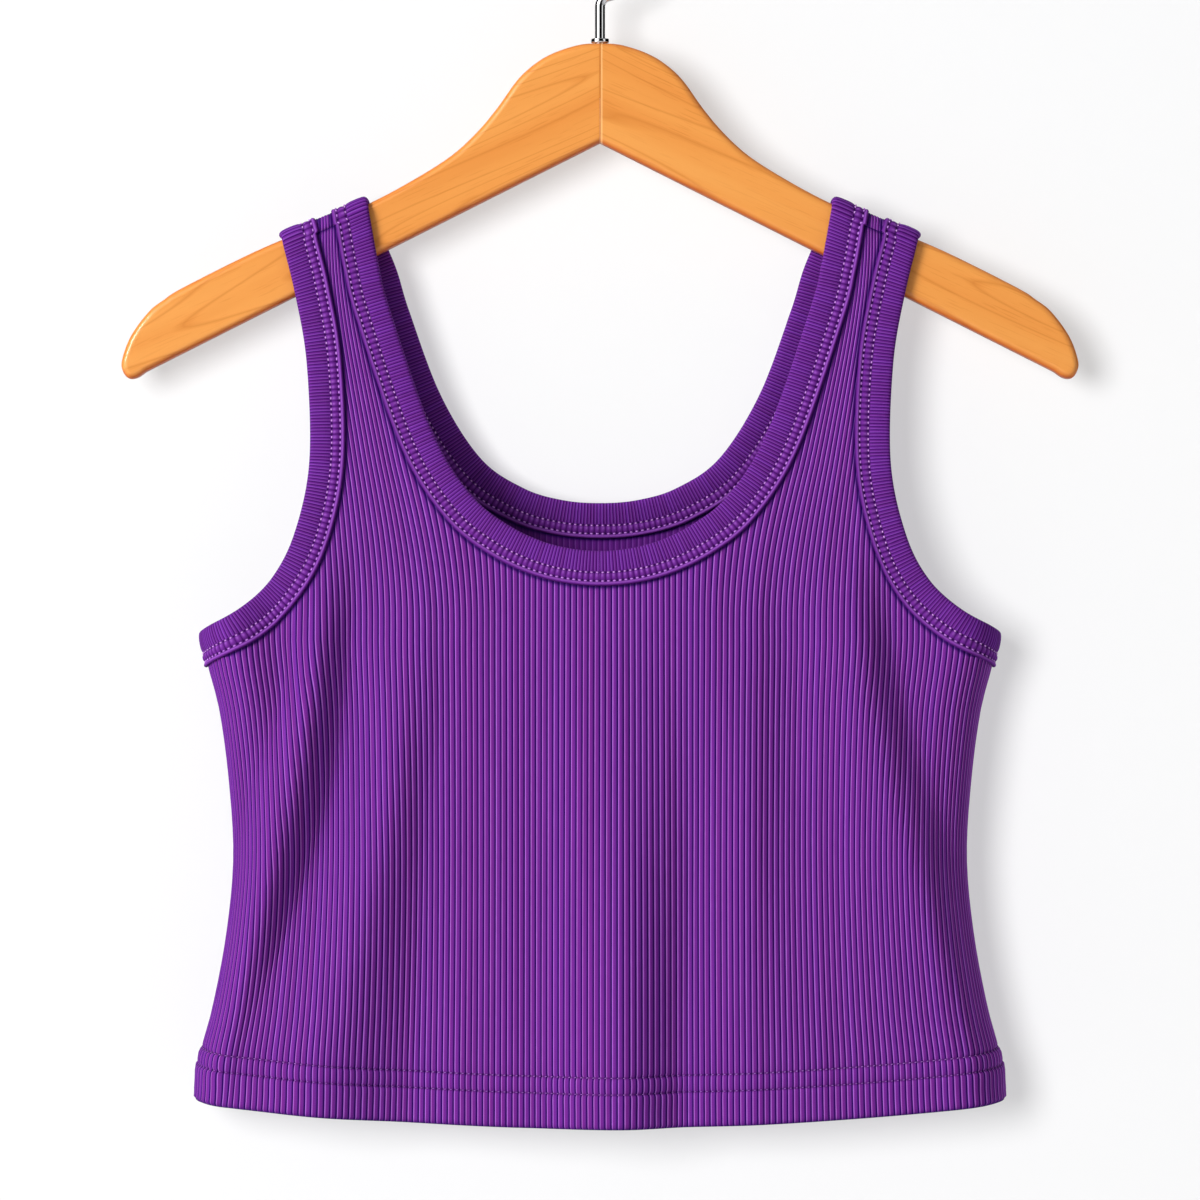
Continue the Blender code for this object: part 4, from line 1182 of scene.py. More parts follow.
def nearest_on_line(points: np.ndarray, line: np.ndarray) -> np.ndarray:
    """Nearest places on a polyline.

    Args:
        points: sheet places.
        line: corners of the polyline.

    Returns:
        A place on the line for each point.
    """
    start = line[:-1]
    run = line[1:] - start
    square = np.maximum(np.sum(run**2, axis=1), 1e-18)
    nearest = np.empty_like(points)
    block = 2000
    for first in range(0, len(points), block):
        some = points[first:first + block]
        share = np.clip(np.einsum("pkc,kc->pk", some[:, None] - start[None], run) / square, 0.0, 1.0)
        places = start[None] + share[..., None] * run[None]
        best = np.argmin(np.sum((places - some[:, None]) ** 2, axis=-1), axis=1)
        nearest[first:first + block] = places[np.arange(len(some)), best]
    return nearest


def inside_polygon(points: np.ndarray, outline: np.ndarray) -> np.ndarray:
    """Whether points lie inside a closed outline.

    Args:
        points: sheet places.
        outline: its corners.

    Returns:
        One truth value for each point.
    """
    start = outline
    end = np.roll(outline, -1, axis=0)
    inside = np.zeros(len(points), dtype=bool)
    for a, b in zip(start, end):
        spans = (a[1] > points[:, 1]) != (b[1] > points[:, 1])
        height = b[1] - a[1] if b[1] != a[1] else 1e-12
        inside ^= spans & (points[:, 0] < (b[0] - a[0]) * (points[:, 1] - a[1]) / height + a[0])
    return inside


# ---------------------------------------------------------------- panels
@dataclass
class Panel:
    """A body panel with its straps: ribs on both faces, a turned hem with two stitched rows, and open edges
    that the bands clasp."""

    side: Side
    node: str
    samples_per_rib: int = 6
    seam_gap: float = 0.04 * MM
    tuck: float = 10.7 * MM
    valley: float = 1.0 * MM
    rib_height: float = 0.50 * MM
    inner_rib_height: float = 0.16 * MM
    hem_rows: tuple[float, ...] = (
        0.0, 0.5, 1.4, 4.0, 8.0, 12.5, 15.0, 15.8, 16.3, 16.8, 17.8, 20.2, 22.6, 23.5, 24.0, 24.5, 25.6,
        29.0,
    )
    stitch_heights: tuple[float, ...] = tuple(row * MM for row in HEM_STITCHES)
    body_step: float = 8.6 * MM
    yoke_step: float = 7.4 * MM
    turn_step: float = 1.25 * MM
    yoke_foot: float = -345.0 * MM
    shear_foot: float = -255.0 * MM
    shear_head: float = -188.0 * MM
    strap_middle: float = 128.5 * MM
    band_zone: float = 8 * MM
    far: float = 30 * MM
    beyond_side: float = 0.25
    beyond_hem: float = -0.70
    flat_size: tuple[float, float] = (0.400, 0.435)
    flat_area: float = 0.122

    def outline(self) -> np.ndarray:
        """Where the bands hide the panel's edge. Past the hem, the sides and the seam it runs wide.

        Returns:
            Corners of the closed outline.
        """
        neck_front, neck_over, neck_back = EDGES.half_ring(Opening.NECK)
        arm_front, arm_over, arm_back = EDGES.half_ring(Opening.ARMHOLE_RIGHT)
        neck = neck_front if self.side is Side.FRONT else neck_back
        arm = arm_front if self.side is Side.FRONT else arm_back
        arm_line = np.column_stack(arm.inset(self.tuck))[::5]
        neck_line = np.column_stack(neck.inset(self.tuck))[::5]
        high = FORM.turn_start(np.array([self.strap_middle]))[0] + FORM.over_length + 20 * MM
        below = [[0.0, self.beyond_hem], [self.beyond_side, self.beyond_hem]]
        parts = [np.array([*below, [self.beyond_side, arm_line[0, 1]]]), arm_line]
        over_seam = np.array([[arm_line[-1, 0] + 1 * MM, high], [neck_line[-1, 0] - 1 * MM, high]])
        if self.side is Side.BACK:
            parts += [self.told_on_back(arm_over)[::-5], over_seam, self.told_on_back(neck_over)[::5]]
        else:
            parts.append(over_seam)
        parts.append(neck_line[::-1])
        right = np.vstack(parts)
        left = right[1:-1][::-1] * np.array([-1.0, 1.0])
        return np.vstack([right, left])

    def told_on_back(self, over: EdgeRun) -> np.ndarray:
        """Tucked places of a turned edge on the back sheet.

        Args:
            over: turn of an edge, told on the front sheet.

        Returns:
            Sheet places.
        """
        s, v = over.inset(self.tuck)
        start = FORM.turn_start(s)
        return np.column_stack([s, 2 * start + FORM.over_length - v])

    def grid(self) -> tuple[np.ndarray, np.ndarray, np.ndarray]:
        """Sheet places of the grid: ribs along a row, rows up the cloth.

        Returns:
            Rib count, s and v of each point.
        """
        count = 2 * FORM.ribs_per_half * self.samples_per_rib + 1
        ribs = np.linspace(-FORM.ribs_per_half, FORM.ribs_per_half, count)
        flat_s = ribs * FORM.rib_pitch
        hem = FORM.hem_z(flat_s * FORM.hem_reach / flat_s[-1])
        rows = [hem + height * MM for height in self.hem_rows]
        body_foot = hem + self.hem_rows[-1] * MM
        steps = int(round((self.yoke_foot - body_foot[count // 2]) / self.body_step))
        rows += [body_foot + (self.yoke_foot - body_foot) * step / steps for step in range(1, steps + 1)]
        s_rows = [FORM.column_s(ribs, row) for row in rows]
        start = float(FORM.turn_start(np.array([self.strap_middle]))[0])
        top = start - self.seam_gap / 2
        steps = int(round((top - self.yoke_foot) / self.yoke_step))
        levels = [self.yoke_foot + (top - self.yoke_foot) * step / steps for step in range(1, steps + 1)]
        if self.side is Side.BACK:
            end = start + FORM.over_length - self.seam_gap / 2
            steps = int(round((end - top) / self.turn_step))
            levels += [top + (end - top) * step / steps for step in range(1, steps + 1)]
        for level in levels:
            s = FORM.column_s(ribs, np.full(count, level))
            share = min(max((level - self.shear_foot) / (self.shear_head - self.shear_foot), 0.0), 1.0)
            rows.append(level + share * (FORM.turn_start(s) - start))
            s_rows.append(s)
        s_grid = np.array(s_rows)
        s_grid[:, 0] += self.seam_gap / 2
        s_grid[:, -1] -= self.seam_gap / 2
        return np.broadcast_to(ribs, s_grid.shape), s_grid, np.array(rows)

    def clipped(self, s: np.ndarray, v: np.ndarray) -> tuple[np.ndarray, np.ndarray, np.ndarray]:
        """Cells that lie in the cloth, with their outside points drawn to its edge.

        Args:
            s: grid places along the cloth.
            v: grid places up the cloth.

        Returns:
            New s, new v and the kept faces.
        """
        outline = self.outline()
        places = np.column_stack([s.ravel(), v.ravel()])
        inside = np.ones(len(places), dtype=bool)
        high = places[:, 1] > self.yoke_foot - self.band_zone
        inside[high] = inside_polygon(places[high], outline)
        faces = grid_faces(*s.shape, False, False)
        kept = faces[inside[faces].any(axis=1)]
        used = np.zeros(len(places), dtype=bool)
        used[kept.ravel()] = True
        moved = used & ~inside
        places[moved] = nearest_on_line(places[moved], np.vstack([outline, outline[:1]]))
        return places[:, 0].reshape(s.shape), places[:, 1].reshape(s.shape), kept

    def hem_relief(self, height: np.ndarray) -> np.ndarray:
        """How far the turned hem and its two stitched rows stand from the plain cloth.

        Args:
            height: heights above the hem's edge.

        Returns:
            Distances.
        """
        low, high = self.stitch_heights
        step = 0.62 * MM * (1 - smoothstep(high - 0.3 * MM, high + 0.5 * MM, height))
        step += 0.50 * MM * (1 - smoothstep(low - 0.4 * MM, low + 0.4 * MM, height))
        puff = 0.32 * MM * bell(height, (low + high) / 2, 2.9 * MM)
        puff += 0.22 * MM * bell(height, low - 3.2 * MM, 2.2 * MM)
        groove = bell(height, low, 0.62 * MM) + bell(height, high, 0.62 * MM)
        edge = 0.85 * MM * (1 - smoothstep(0.0, 1.4 * MM, height))
        return step + puff - 0.72 * MM * groove - edge

    def outer_level(self, ribs: np.ndarray, s: np.ndarray, v: np.ndarray) -> np.ndarray:
        """Height of the outer face above the plain inner one.

        Args:
            ribs: rib counts.
            s: places along the cloth.
            v: places up the cloth.

        Returns:
            Distances.
        """
        pitch = np.abs(np.gradient(s, axis=1)) * self.samples_per_rib / FORM.rib_pitch
        height = v - FORM.hem_z(s)
        low, high = self.stitch_heights
        pressed = np.maximum(bell(height, low, 0.7 * MM), bell(height, high, 0.7 * MM))
        in_hem = 1 - smoothstep(high, high + 3 * MM, height)
        rise = self.rib_height * np.clip(0.35 + 0.65 * pitch, 0.4, 1.05)
        rise = rise * (1 - 0.7 * pressed) * (1 - 0.22 * in_hem) * smoothstep(0.0, 1.4 * MM, height)
        uneven = 1 + 0.10 * np.sin(ribs * 2.3 + 1.1) + 0.08 * np.sin(ribs * 0.71)
        wave = np.abs(np.sin(math.pi * ribs)) ** 0.3
        return self.valley + rise * uneven * wave + self.hem_relief(height)

    def inner_level(self, ribs: np.ndarray, s: np.ndarray, v: np.ndarray) -> np.ndarray:
        """Height of the inner face, with the back of the ribs and the turned-up hem.

        Args:
            ribs: rib counts.
            s: places along the cloth.
            v: places up the cloth.

        Returns:
            Distances.
        """
        height = v - FORM.hem_z(s)
        fold = 0.9 * MM * (1 - smoothstep(23.2 * MM, 24.6 * MM, height))
        rounding = 0.7 * MM * (1 - smoothstep(0.0, 1.4 * MM, height))
        wave = np.abs(np.cos(math.pi * ribs))
        return self.inner_rib_height * (1 - wave) - fold + rounding

    def build(self, finish: bpy.types.Material) -> bpy.types.Object:
        """Closed shell of the panel.

        Args:
            finish: material of the cloth.

        Returns:
            The piece.
        """
        ribs, s, v = self.grid()
        outer_level = self.outer_level(ribs, s, v)
        inner_level = self.inner_level(ribs, s, v)
        s, v, kept = self.clipped(s, v)
        side = float(self.side.value)
        outer = FORM.lay(side, s, v, outer_level).reshape(-1, 3)
        inner = FORM.lay(side, s, v, inner_level).reshape(-1, 3)
        count = len(outer)
        faces = self.shell_faces(kept, count)
        used = np.unique(faces)
        number = np.zeros(2 * count, dtype=np.int64)
        number[used] = np.arange(len(used))
        uv = np.stack([ribs, (v - FORM.hem_z(s)) / MM], axis=-1).reshape(-1, 2)
        points = np.vstack([outer, inner])[used]
        uv = np.vstack([uv, uv + np.array([2 * KnitFinish.inner_count + 0.5, 0.0])])[used]
        clear = self.clear_of_bands(s, v).ravel() / MM
        bands = np.tile(np.column_stack([clear, self.below_seam(s, v).ravel() / MM]), (2, 1))[used]
        maps = {"cloth": uv, "bands": bands}
        return new_mesh_object(self.node + "_cloth", points, number[faces], maps, finish)

    def shell_faces(self, kept: np.ndarray, count: int) -> np.ndarray:
        """Faces of the outer side, of the inner side and of the rim between them.

        Args:
            kept: cells of the sheet.
            count: points of one side; those of the inner side follow the outer ones.

        Returns:
            Faces.
        """
        edges = np.concatenate([kept[:, [0, 1]], kept[:, [1, 2]], kept[:, [2, 3]], kept[:, [3, 0]]])
        keys = np.sort(edges, axis=1)
        _, first, counts = np.unique(keys, axis=0, return_index=True, return_counts=True)
        start, end = edges[first[counts == 1]].T
        if self.side is Side.FRONT:
            rim = np.column_stack([end, start, start + count, end + count])
            return np.vstack([kept, kept[:, ::-1] + count, rim])
        rim = np.column_stack([start, end, end + count, start + count])
        return np.vstack([kept[:, ::-1], kept + count, rim])

    def clear_of_bands(self, s: np.ndarray, v: np.ndarray) -> np.ndarray:
        """How far places lie from the bands' rolls, up to a distance that no longer matters. It places the
        painted shadow beside the rolls.

        Args:
            s: places along the cloth.
            v: places up the cloth.

        Returns:
            Distances.
        """
        places = np.column_stack([s.ravel(), v.ravel()])
        clear = np.full(len(places), self.far)
        high = np.flatnonzero(places[:, 1] > self.yoke_foot - self.band_zone)
        outline = self.outline()
        near = nearest_on_line(places[high], np.vstack([outline, outline[:1]]))
        clear[high] = np.linalg.norm(near - places[high], axis=1) - (EDGES.band_width - self.tuck)
        return np.minimum(clear, self.far).reshape(s.shape)

    def below_seam(self, s: np.ndarray, v: np.ndarray) -> np.ndarray:
        """How far places of the front panel lie below the shoulder seam. The back panel's are far from it.

        Args:
            s: places along the cloth.
            v: places up the cloth.

        Returns:
            Distances.
        """
        if self.side is Side.BACK:
            return np.full(s.shape, self.far)
        return np.clip(FORM.turn_start(s) - v, 0.0, self.far)


# ---------------------------------------------------------------- bands
@dataclass
class Band:
    """A folded band round an opening. Fine ribs run across it, two stitched rows hold a strip of puffs, and
    its turned edge stands as a thin cord."""

    opening: Opening
    rib_pitch: float = 1.50 * MM
    stitch_pitch: float = 2.62 * MM
    rib_height: float = 0.20 * MM
    puff_height: float = 0.55 * MM
    outer_section: tuple[tuple[float, float], ...] = (
        (0.0, 0.55), (0.10, 1.25), (0.42, 1.88), (1.0, 2.32), (2.0, 2.58), (3.8, 2.72), (5.8, 2.74),
        (7.6, 2.66), (8.9, 2.46), (9.6, 2.20), (10.1, 2.02), (10.6, 2.22), (11.2, 2.56), (12.0, 2.72),
        (12.8, 2.68), (13.5, 2.44), (14.05, 2.06), (14.45, 2.34), (14.8, 2.84), (15.3, 3.12), (15.8, 3.06),
        (16.2, 2.72), (16.42, 2.25),
    )
    slot: tuple[tuple[float, float], ...] = ((16.4, 1.9), (10.4, 1.9), (10.4, -0.3), (16.4, -0.3))
    inner_section: tuple[tuple[float, float], ...] = (
        (16.42, -0.7), (16.1, -1.22), (15.4, -1.42), (14.7, -1.2), (14.2, -0.86), (13.6, -1.12),
        (12.4, -1.34), (11.1, -1.22), (10.3, -0.86), (9.6, -1.12), (7.4, -1.30), (4.0, -1.34),
        (1.4, -1.18), (0.35, -0.55),
    )
    cut_width: float = 0.033
    first_row: float = 10.1 * MM
    second_row: float = 14.1 * MM
    strip_middle: float = 12.3 * MM
    strip_half: float = 1.7 * MM
    rib_fade: tuple[float, float] = (8.6 * MM, 9.9 * MM)
    strip_start: tuple[float, float] = (9.6 * MM, 11.0 * MM)
    inner_share: float = 0.55
    turn_fade: float = 3 * MM
    turn_press: float = 0.55 * MM

    def lengths(self, run: EdgeRun, distance: float) -> np.ndarray:
        """Distance walked along a line that follows the closed edge, and once round at the end.

        Args:
            run: the edge.
            distance: how far the line lies from it.

        Returns:
            Distances, one more than the places.
        """
        points = FORM.base(run.side, *run.inset(distance))
        steps = np.linalg.norm(np.roll(points, -1, axis=0) - points, axis=1)
        return np.concatenate([[0.0], np.cumsum(steps)])

    def counts(self, run: EdgeRun, distance: float, pitch: float) -> np.ndarray:
        """Running count of what repeats along the band, whole once round.

        Args:
            run: the edge.
            distance: how far from it the pitch is measured.
            pitch: length of one repeat.

        Returns:
            Counts, one more than the places.
        """
        lengths = self.lengths(run, distance)
        whole = 2 * round(lengths[-1] / pitch / 2)
        return lengths / lengths[-1] * whole

    def build(self, finish: bpy.types.Material) -> bpy.types.Object:
        """Closed band, swept round the opening.

        Args:
            finish: material of the cloth.

        Returns:
            The piece.
        """
        run = EDGES.ring(self.opening)
        ribs = self.counts(run, 5 * MM, self.rib_pitch)[:-1, None]
        stitches = self.counts(run, self.strip_middle, self.stitch_pitch)[:-1, None]
        section = np.array(self.outer_section + self.slot + self.inner_section) * MM
        from_edge = section[None, :, 0]
        level = section[None, :, 1]
        first_inner = len(self.outer_section) + len(self.slot)
        facing = np.zeros(len(section))
        facing[:len(self.outer_section)] = 1.0
        facing[first_inner:] = -self.inner_share
        ribbed = 1 - smoothstep(*self.rib_fade, from_edge)
        puffed = bell(from_edge, self.strip_middle, self.strip_half)
        rib_wave = np.abs(np.sin(math.pi * ribs)) ** 0.8 - 0.5
        puff_wave = np.abs(np.sin(math.pi * stitches)) ** 0.7 - 0.45
        turned = smoothstep(-self.turn_fade, self.turn_fade, run.v - FORM.turn_start(run.s))[:, None]
        sewn = smoothstep(*self.strip_start, from_edge)
        relief = self.rib_height * ribbed * rib_wave
        relief = relief + self.puff_height * puffed * puff_wave * (1 - 0.6 * turned)
        relief = relief - self.turn_press * sewn * turned
        s = run.s[:, None] + run.ds[:, None] * from_edge
        v = run.v[:, None] + run.dv[:, None] * from_edge
        side = np.broadcast_to(run.side[:, None], s.shape)
        points = FORM.lay(side, s, v, level + facing * relief)
        faces = grid_faces(*s.shape, True, True)
        if self.opening is not Opening.ARMHOLE_RIGHT:
            faces = faces[:, ::-1]
        away = np.broadcast_to(from_edge / MM, s.shape)
        maps = {
            "cloth": np.stack([np.broadcast_to(ribs, s.shape), away], axis=-1),
            "stitches": np.stack([np.broadcast_to(stitches, s.shape), away], axis=-1),
        }
        return new_mesh_object(self.opening.value + "_cloth", points, faces, maps, finish)

    def flat_size(self) -> tuple[float, float]:
        """Width and length of the strip that the band is cut as."""
        return self.cut_width, float(self.lengths(EDGES.ring(self.opening), 0.0)[-1])


@dataclass(frozen=True)
class Bead:
    """One stitch as a small rounded body: its length along the row, its width across and its height."""

    length: float
    width: float
    height: float
    sides: int = 7
    rings: int = 4

    def template(self) -> tuple[np.ndarray, np.ndarray]:
        """Shape of a bead at the origin: along X, across Y, up Z.

        Returns:
            Points and triangles.
        """
        angles = np.linspace(0.0, math.pi, self.rings + 1)[1:-1]
        turns = np.linspace(0.0, 2 * math.pi, self.sides, endpoint=False)
        points = [[-self.length / 2, 0.0, 0.0]]
        for angle in angles:
            reach = math.sin(angle) ** 0.75
            for turn in turns:
                points.append(
                    [
                        -self.length / 2 * math.cos(angle),
                        self.width / 2 * reach * math.cos(turn),
                        self.height / 2 * reach * math.sin(turn),
                    ]
                )
        points.append([self.length / 2, 0.0, 0.0])
        last = len(points) - 1
        faces = []
        for side in range(self.sides):
            beside = (side + 1) % self.sides
            faces.append([0, 1 + beside, 1 + side])
            for ring in range(len(angles) - 1):
                low = 1 + ring * self.sides
                high = low + self.sides
                faces.append([low + side, low + beside, high + beside])
                faces.append([low + side, high + beside, high + side])
            top = 1 + (len(angles) - 1) * self.sides
            faces.append([top + side, top + beside, last])
        return np.array(points), np.array(faces)


@dataclass
class StitchRow:
    """A row of stitches laid on the cloth at equal steps of a running count."""

    bead: Bead
    level: float
    inside: bool = False
    tilt: float = 0.0
    offset: float = 0.0

    def lay(
        self, side: np.ndarray, s: np.ndarray, v: np.ndarray, counts: np.ndarray
    ) -> tuple[np.ndarray, np.ndarray]:
        """Beads along a line on the cloth.

        Args:
            side: sheet of each place.
            s: places along the cloth.
            v: places up the cloth.
            counts: running count of stitches at each place.

        Returns:
            Points and triangles.
        """
        low = FORM.lay(side, s, v, np.full(len(s), self.level))
        high = FORM.lay(side, s, v, np.full(len(s), self.level + MM))
        normals = (high - low) * (-1 if self.inside else 1)
        first = math.ceil(counts[0] - self.offset + 0.01)
        marks = np.arange(first, math.floor(counts[-1] - self.offset + 0.01) + 1) + self.offset
        centre = self.read(marks, counts, low)
        along = self.read(marks + 0.1, counts, low) - self.read(marks - 0.1, counts, low)
        up = self.read(marks, counts, normals)
        up /= np.linalg.norm(up, axis=1, keepdims=True)
        along -= up * np.sum(along * up, axis=1, keepdims=True)
        along /= np.linalg.norm(along, axis=1, keepdims=True)
        across = np.cross(up, along)
        lean = math.tan(self.tilt)
        points, faces = self.bead.template()
        shaped = (
            centre[:, None]
            + points[None, :, :1] * (along + across * lean)[:, None]
            + points[None, :, 1:2] * across[:, None]
            + points[None, :, 2:] * up[:, None]
        )
        numbers = (np.arange(len(marks)) * len(points))[:, None, None] + faces[None]
        return shaped.reshape(-1, 3), numbers.reshape(-1, 3)

    def read(self, marks: np.ndarray, counts: np.ndarray, line: np.ndarray) -> np.ndarray:
        """Points of a line at given counts, from the running count at each of its points."""
        return np.column_stack([np.interp(marks, counts, line[:, axis]) for axis in range(3)])


@dataclass
class Sewing:
    """All stitches of one sort, joined into one piece."""

    name: str
    finish: bpy.types.Material

    def __post_init__(self) -> None:
        """Start with no stitches."""
        self.points: list[np.ndarray] = []
        self.faces: list[np.ndarray] = []
        self.count = 0

    def add(self, points: np.ndarray, faces: np.ndarray) -> None:
        """Add a row.

        Args:
            points: its points.
            faces: its triangles.
        """
        self.points.append(points)
        self.faces.append(faces + self.count)
        self.count += len(points)

    def build(self) -> bpy.types.Object:
        """The joined piece."""
        return new_mesh_object(self.name, np.vstack(self.points), np.vstack(self.faces), {}, self.finish)


@dataclass
class Garment:
    """The whole top: two panels, three bands and their sewing."""

    # light thread colours of the band stitches: partly thread, partly a painted highlight on the puffs
    lilac_and_highlight: ThreadFinish = ThreadFinish("lilac_thread", (0.72, 0.37, 0.86))
    violet_and_highlight: ThreadFinish = ThreadFinish("violet_thread", (0.60, 0.26, 0.80))
    hem_thread: ThreadFinish = ThreadFinish("hem_thread", (0.33, 0.12, 0.50))
    dot: Bead = Bead(1.05 * MM, 0.70 * MM, 0.74 * MM)
    dash: Bead = Bead(1.35 * MM, 0.80 * MM, 0.72 * MM)
    hem_stitch: Bead = Bead(1.05 * MM, 0.50 * MM, 0.50 * MM)
    hem_stitch_pitch: float = 2.75 * MM
    hangs_on: tuple[str, str] = ("hanger_left", "hanger_right")

    def build(self) -> None:
        """Build, dress and declare every cloth piece."""
        knit = KnitFinish("rib_knit").build()
        binding = BindingFinish("rib_binding").build()
        panels = [Panel(Side.FRONT, "front_panel"), Panel(Side.BACK, "back_panel")]
        bands = [Band(opening) for opening in Opening]
        hem_sewing = self.sew_hems(panels)
        for panel in panels:
            piece = panel.build(knit)
            declare(piece, panel.node)
        band_sewing = self.sew_bands(bands)
        for band in bands:
            piece = band.build(binding)
            declare(piece, band.opening.value)
            band.flat_size()

    def sew_bands(self, bands: list[Band]) -> list[bpy.types.Object]:
        """Two rows on both faces of each band: bright stitches at the ribs' ends, softer ones at the roll.
        Their light colours are partly the thread's own and partly a painted highlight on the puffs.

        Args:
            bands: the bands.

        Returns:
            The bright stitches and the soft ones.
        """
        bright = Sewing("band_stitches", self.lilac_and_highlight.build())
        soft = Sewing("band_edge_stitches", self.violet_and_highlight.build())
        for band in bands:
            ring = EDGES.ring(band.opening)
            run = ring.joined(ring.part(0, 1))
            counts = band.counts(ring, band.strip_middle, band.stitch_pitch)
            for sewing, distance, row in (
                (bright, band.first_row + 0.10 * MM, StitchRow(self.dot, 2.36 * MM, offset=0.48)),
                (soft, band.second_row + 0.10 * MM, StitchRow(self.dash, 2.34 * MM, offset=0.48)),
                (bright, band.first_row + 0.20 * MM, StitchRow(self.dot, -1.12 * MM, True, offset=0.48)),
                (soft, band.second_row + 0.10 * MM, StitchRow(self.dash, -1.04 * MM, True, offset=0.48)),
            ):
                s, v = run.inset(distance)
                sewing.add(*row.lay(run.side, s, v, counts))
        pieces = [bright.build(), soft.build()]
        for piece in pieces:
            declare(piece)
        return pieces

    def sew_hems(self, panels: list[Panel]) -> bpy.types.Object:
        """Two rows round the hem, on both faces of the cloth.

        Args:
            panels: the panels.

        Returns:
            The stitches.
        """
        sewing = Sewing("hem_stitches", self.hem_thread.build())
        s = np.linspace(-FORM.hem_reach, FORM.hem_reach, 900)
        counts = s / self.hem_stitch_pitch
        for panel in panels:
            side = np.full(len(s), float(panel.side.value))
            for height in panel.stitch_heights:
                v = FORM.hem_z(s) + height
                keep = np.abs(s) < FORM.side_length(v)
                for row in (
                    StitchRow(self.hem_stitch, panel.valley + 0.30 * MM, tilt=0.15),
                    StitchRow(self.hem_stitch, -0.95 * MM, inside=True),
                ):
                    sewing.add(*row.lay(side[keep], s[keep], v[keep], counts[keep]))
        piece = sewing.build()
        declare(piece)
        return piece


# ---------------------------------------------------------------- hanger
def start_edit() -> None:
    """Open the active object in edit mode with everything selected, in face selection."""
    bpy.ops.object.mode_set(mode="EDIT")
    bpy.ops.mesh.select_mode(type="FACE")
    bpy.ops.mesh.select_all(action="SELECT")


def deselect_objects() -> None:
    """Deselect every object."""
    bpy.ops.object.select_all(action="DESELECT")


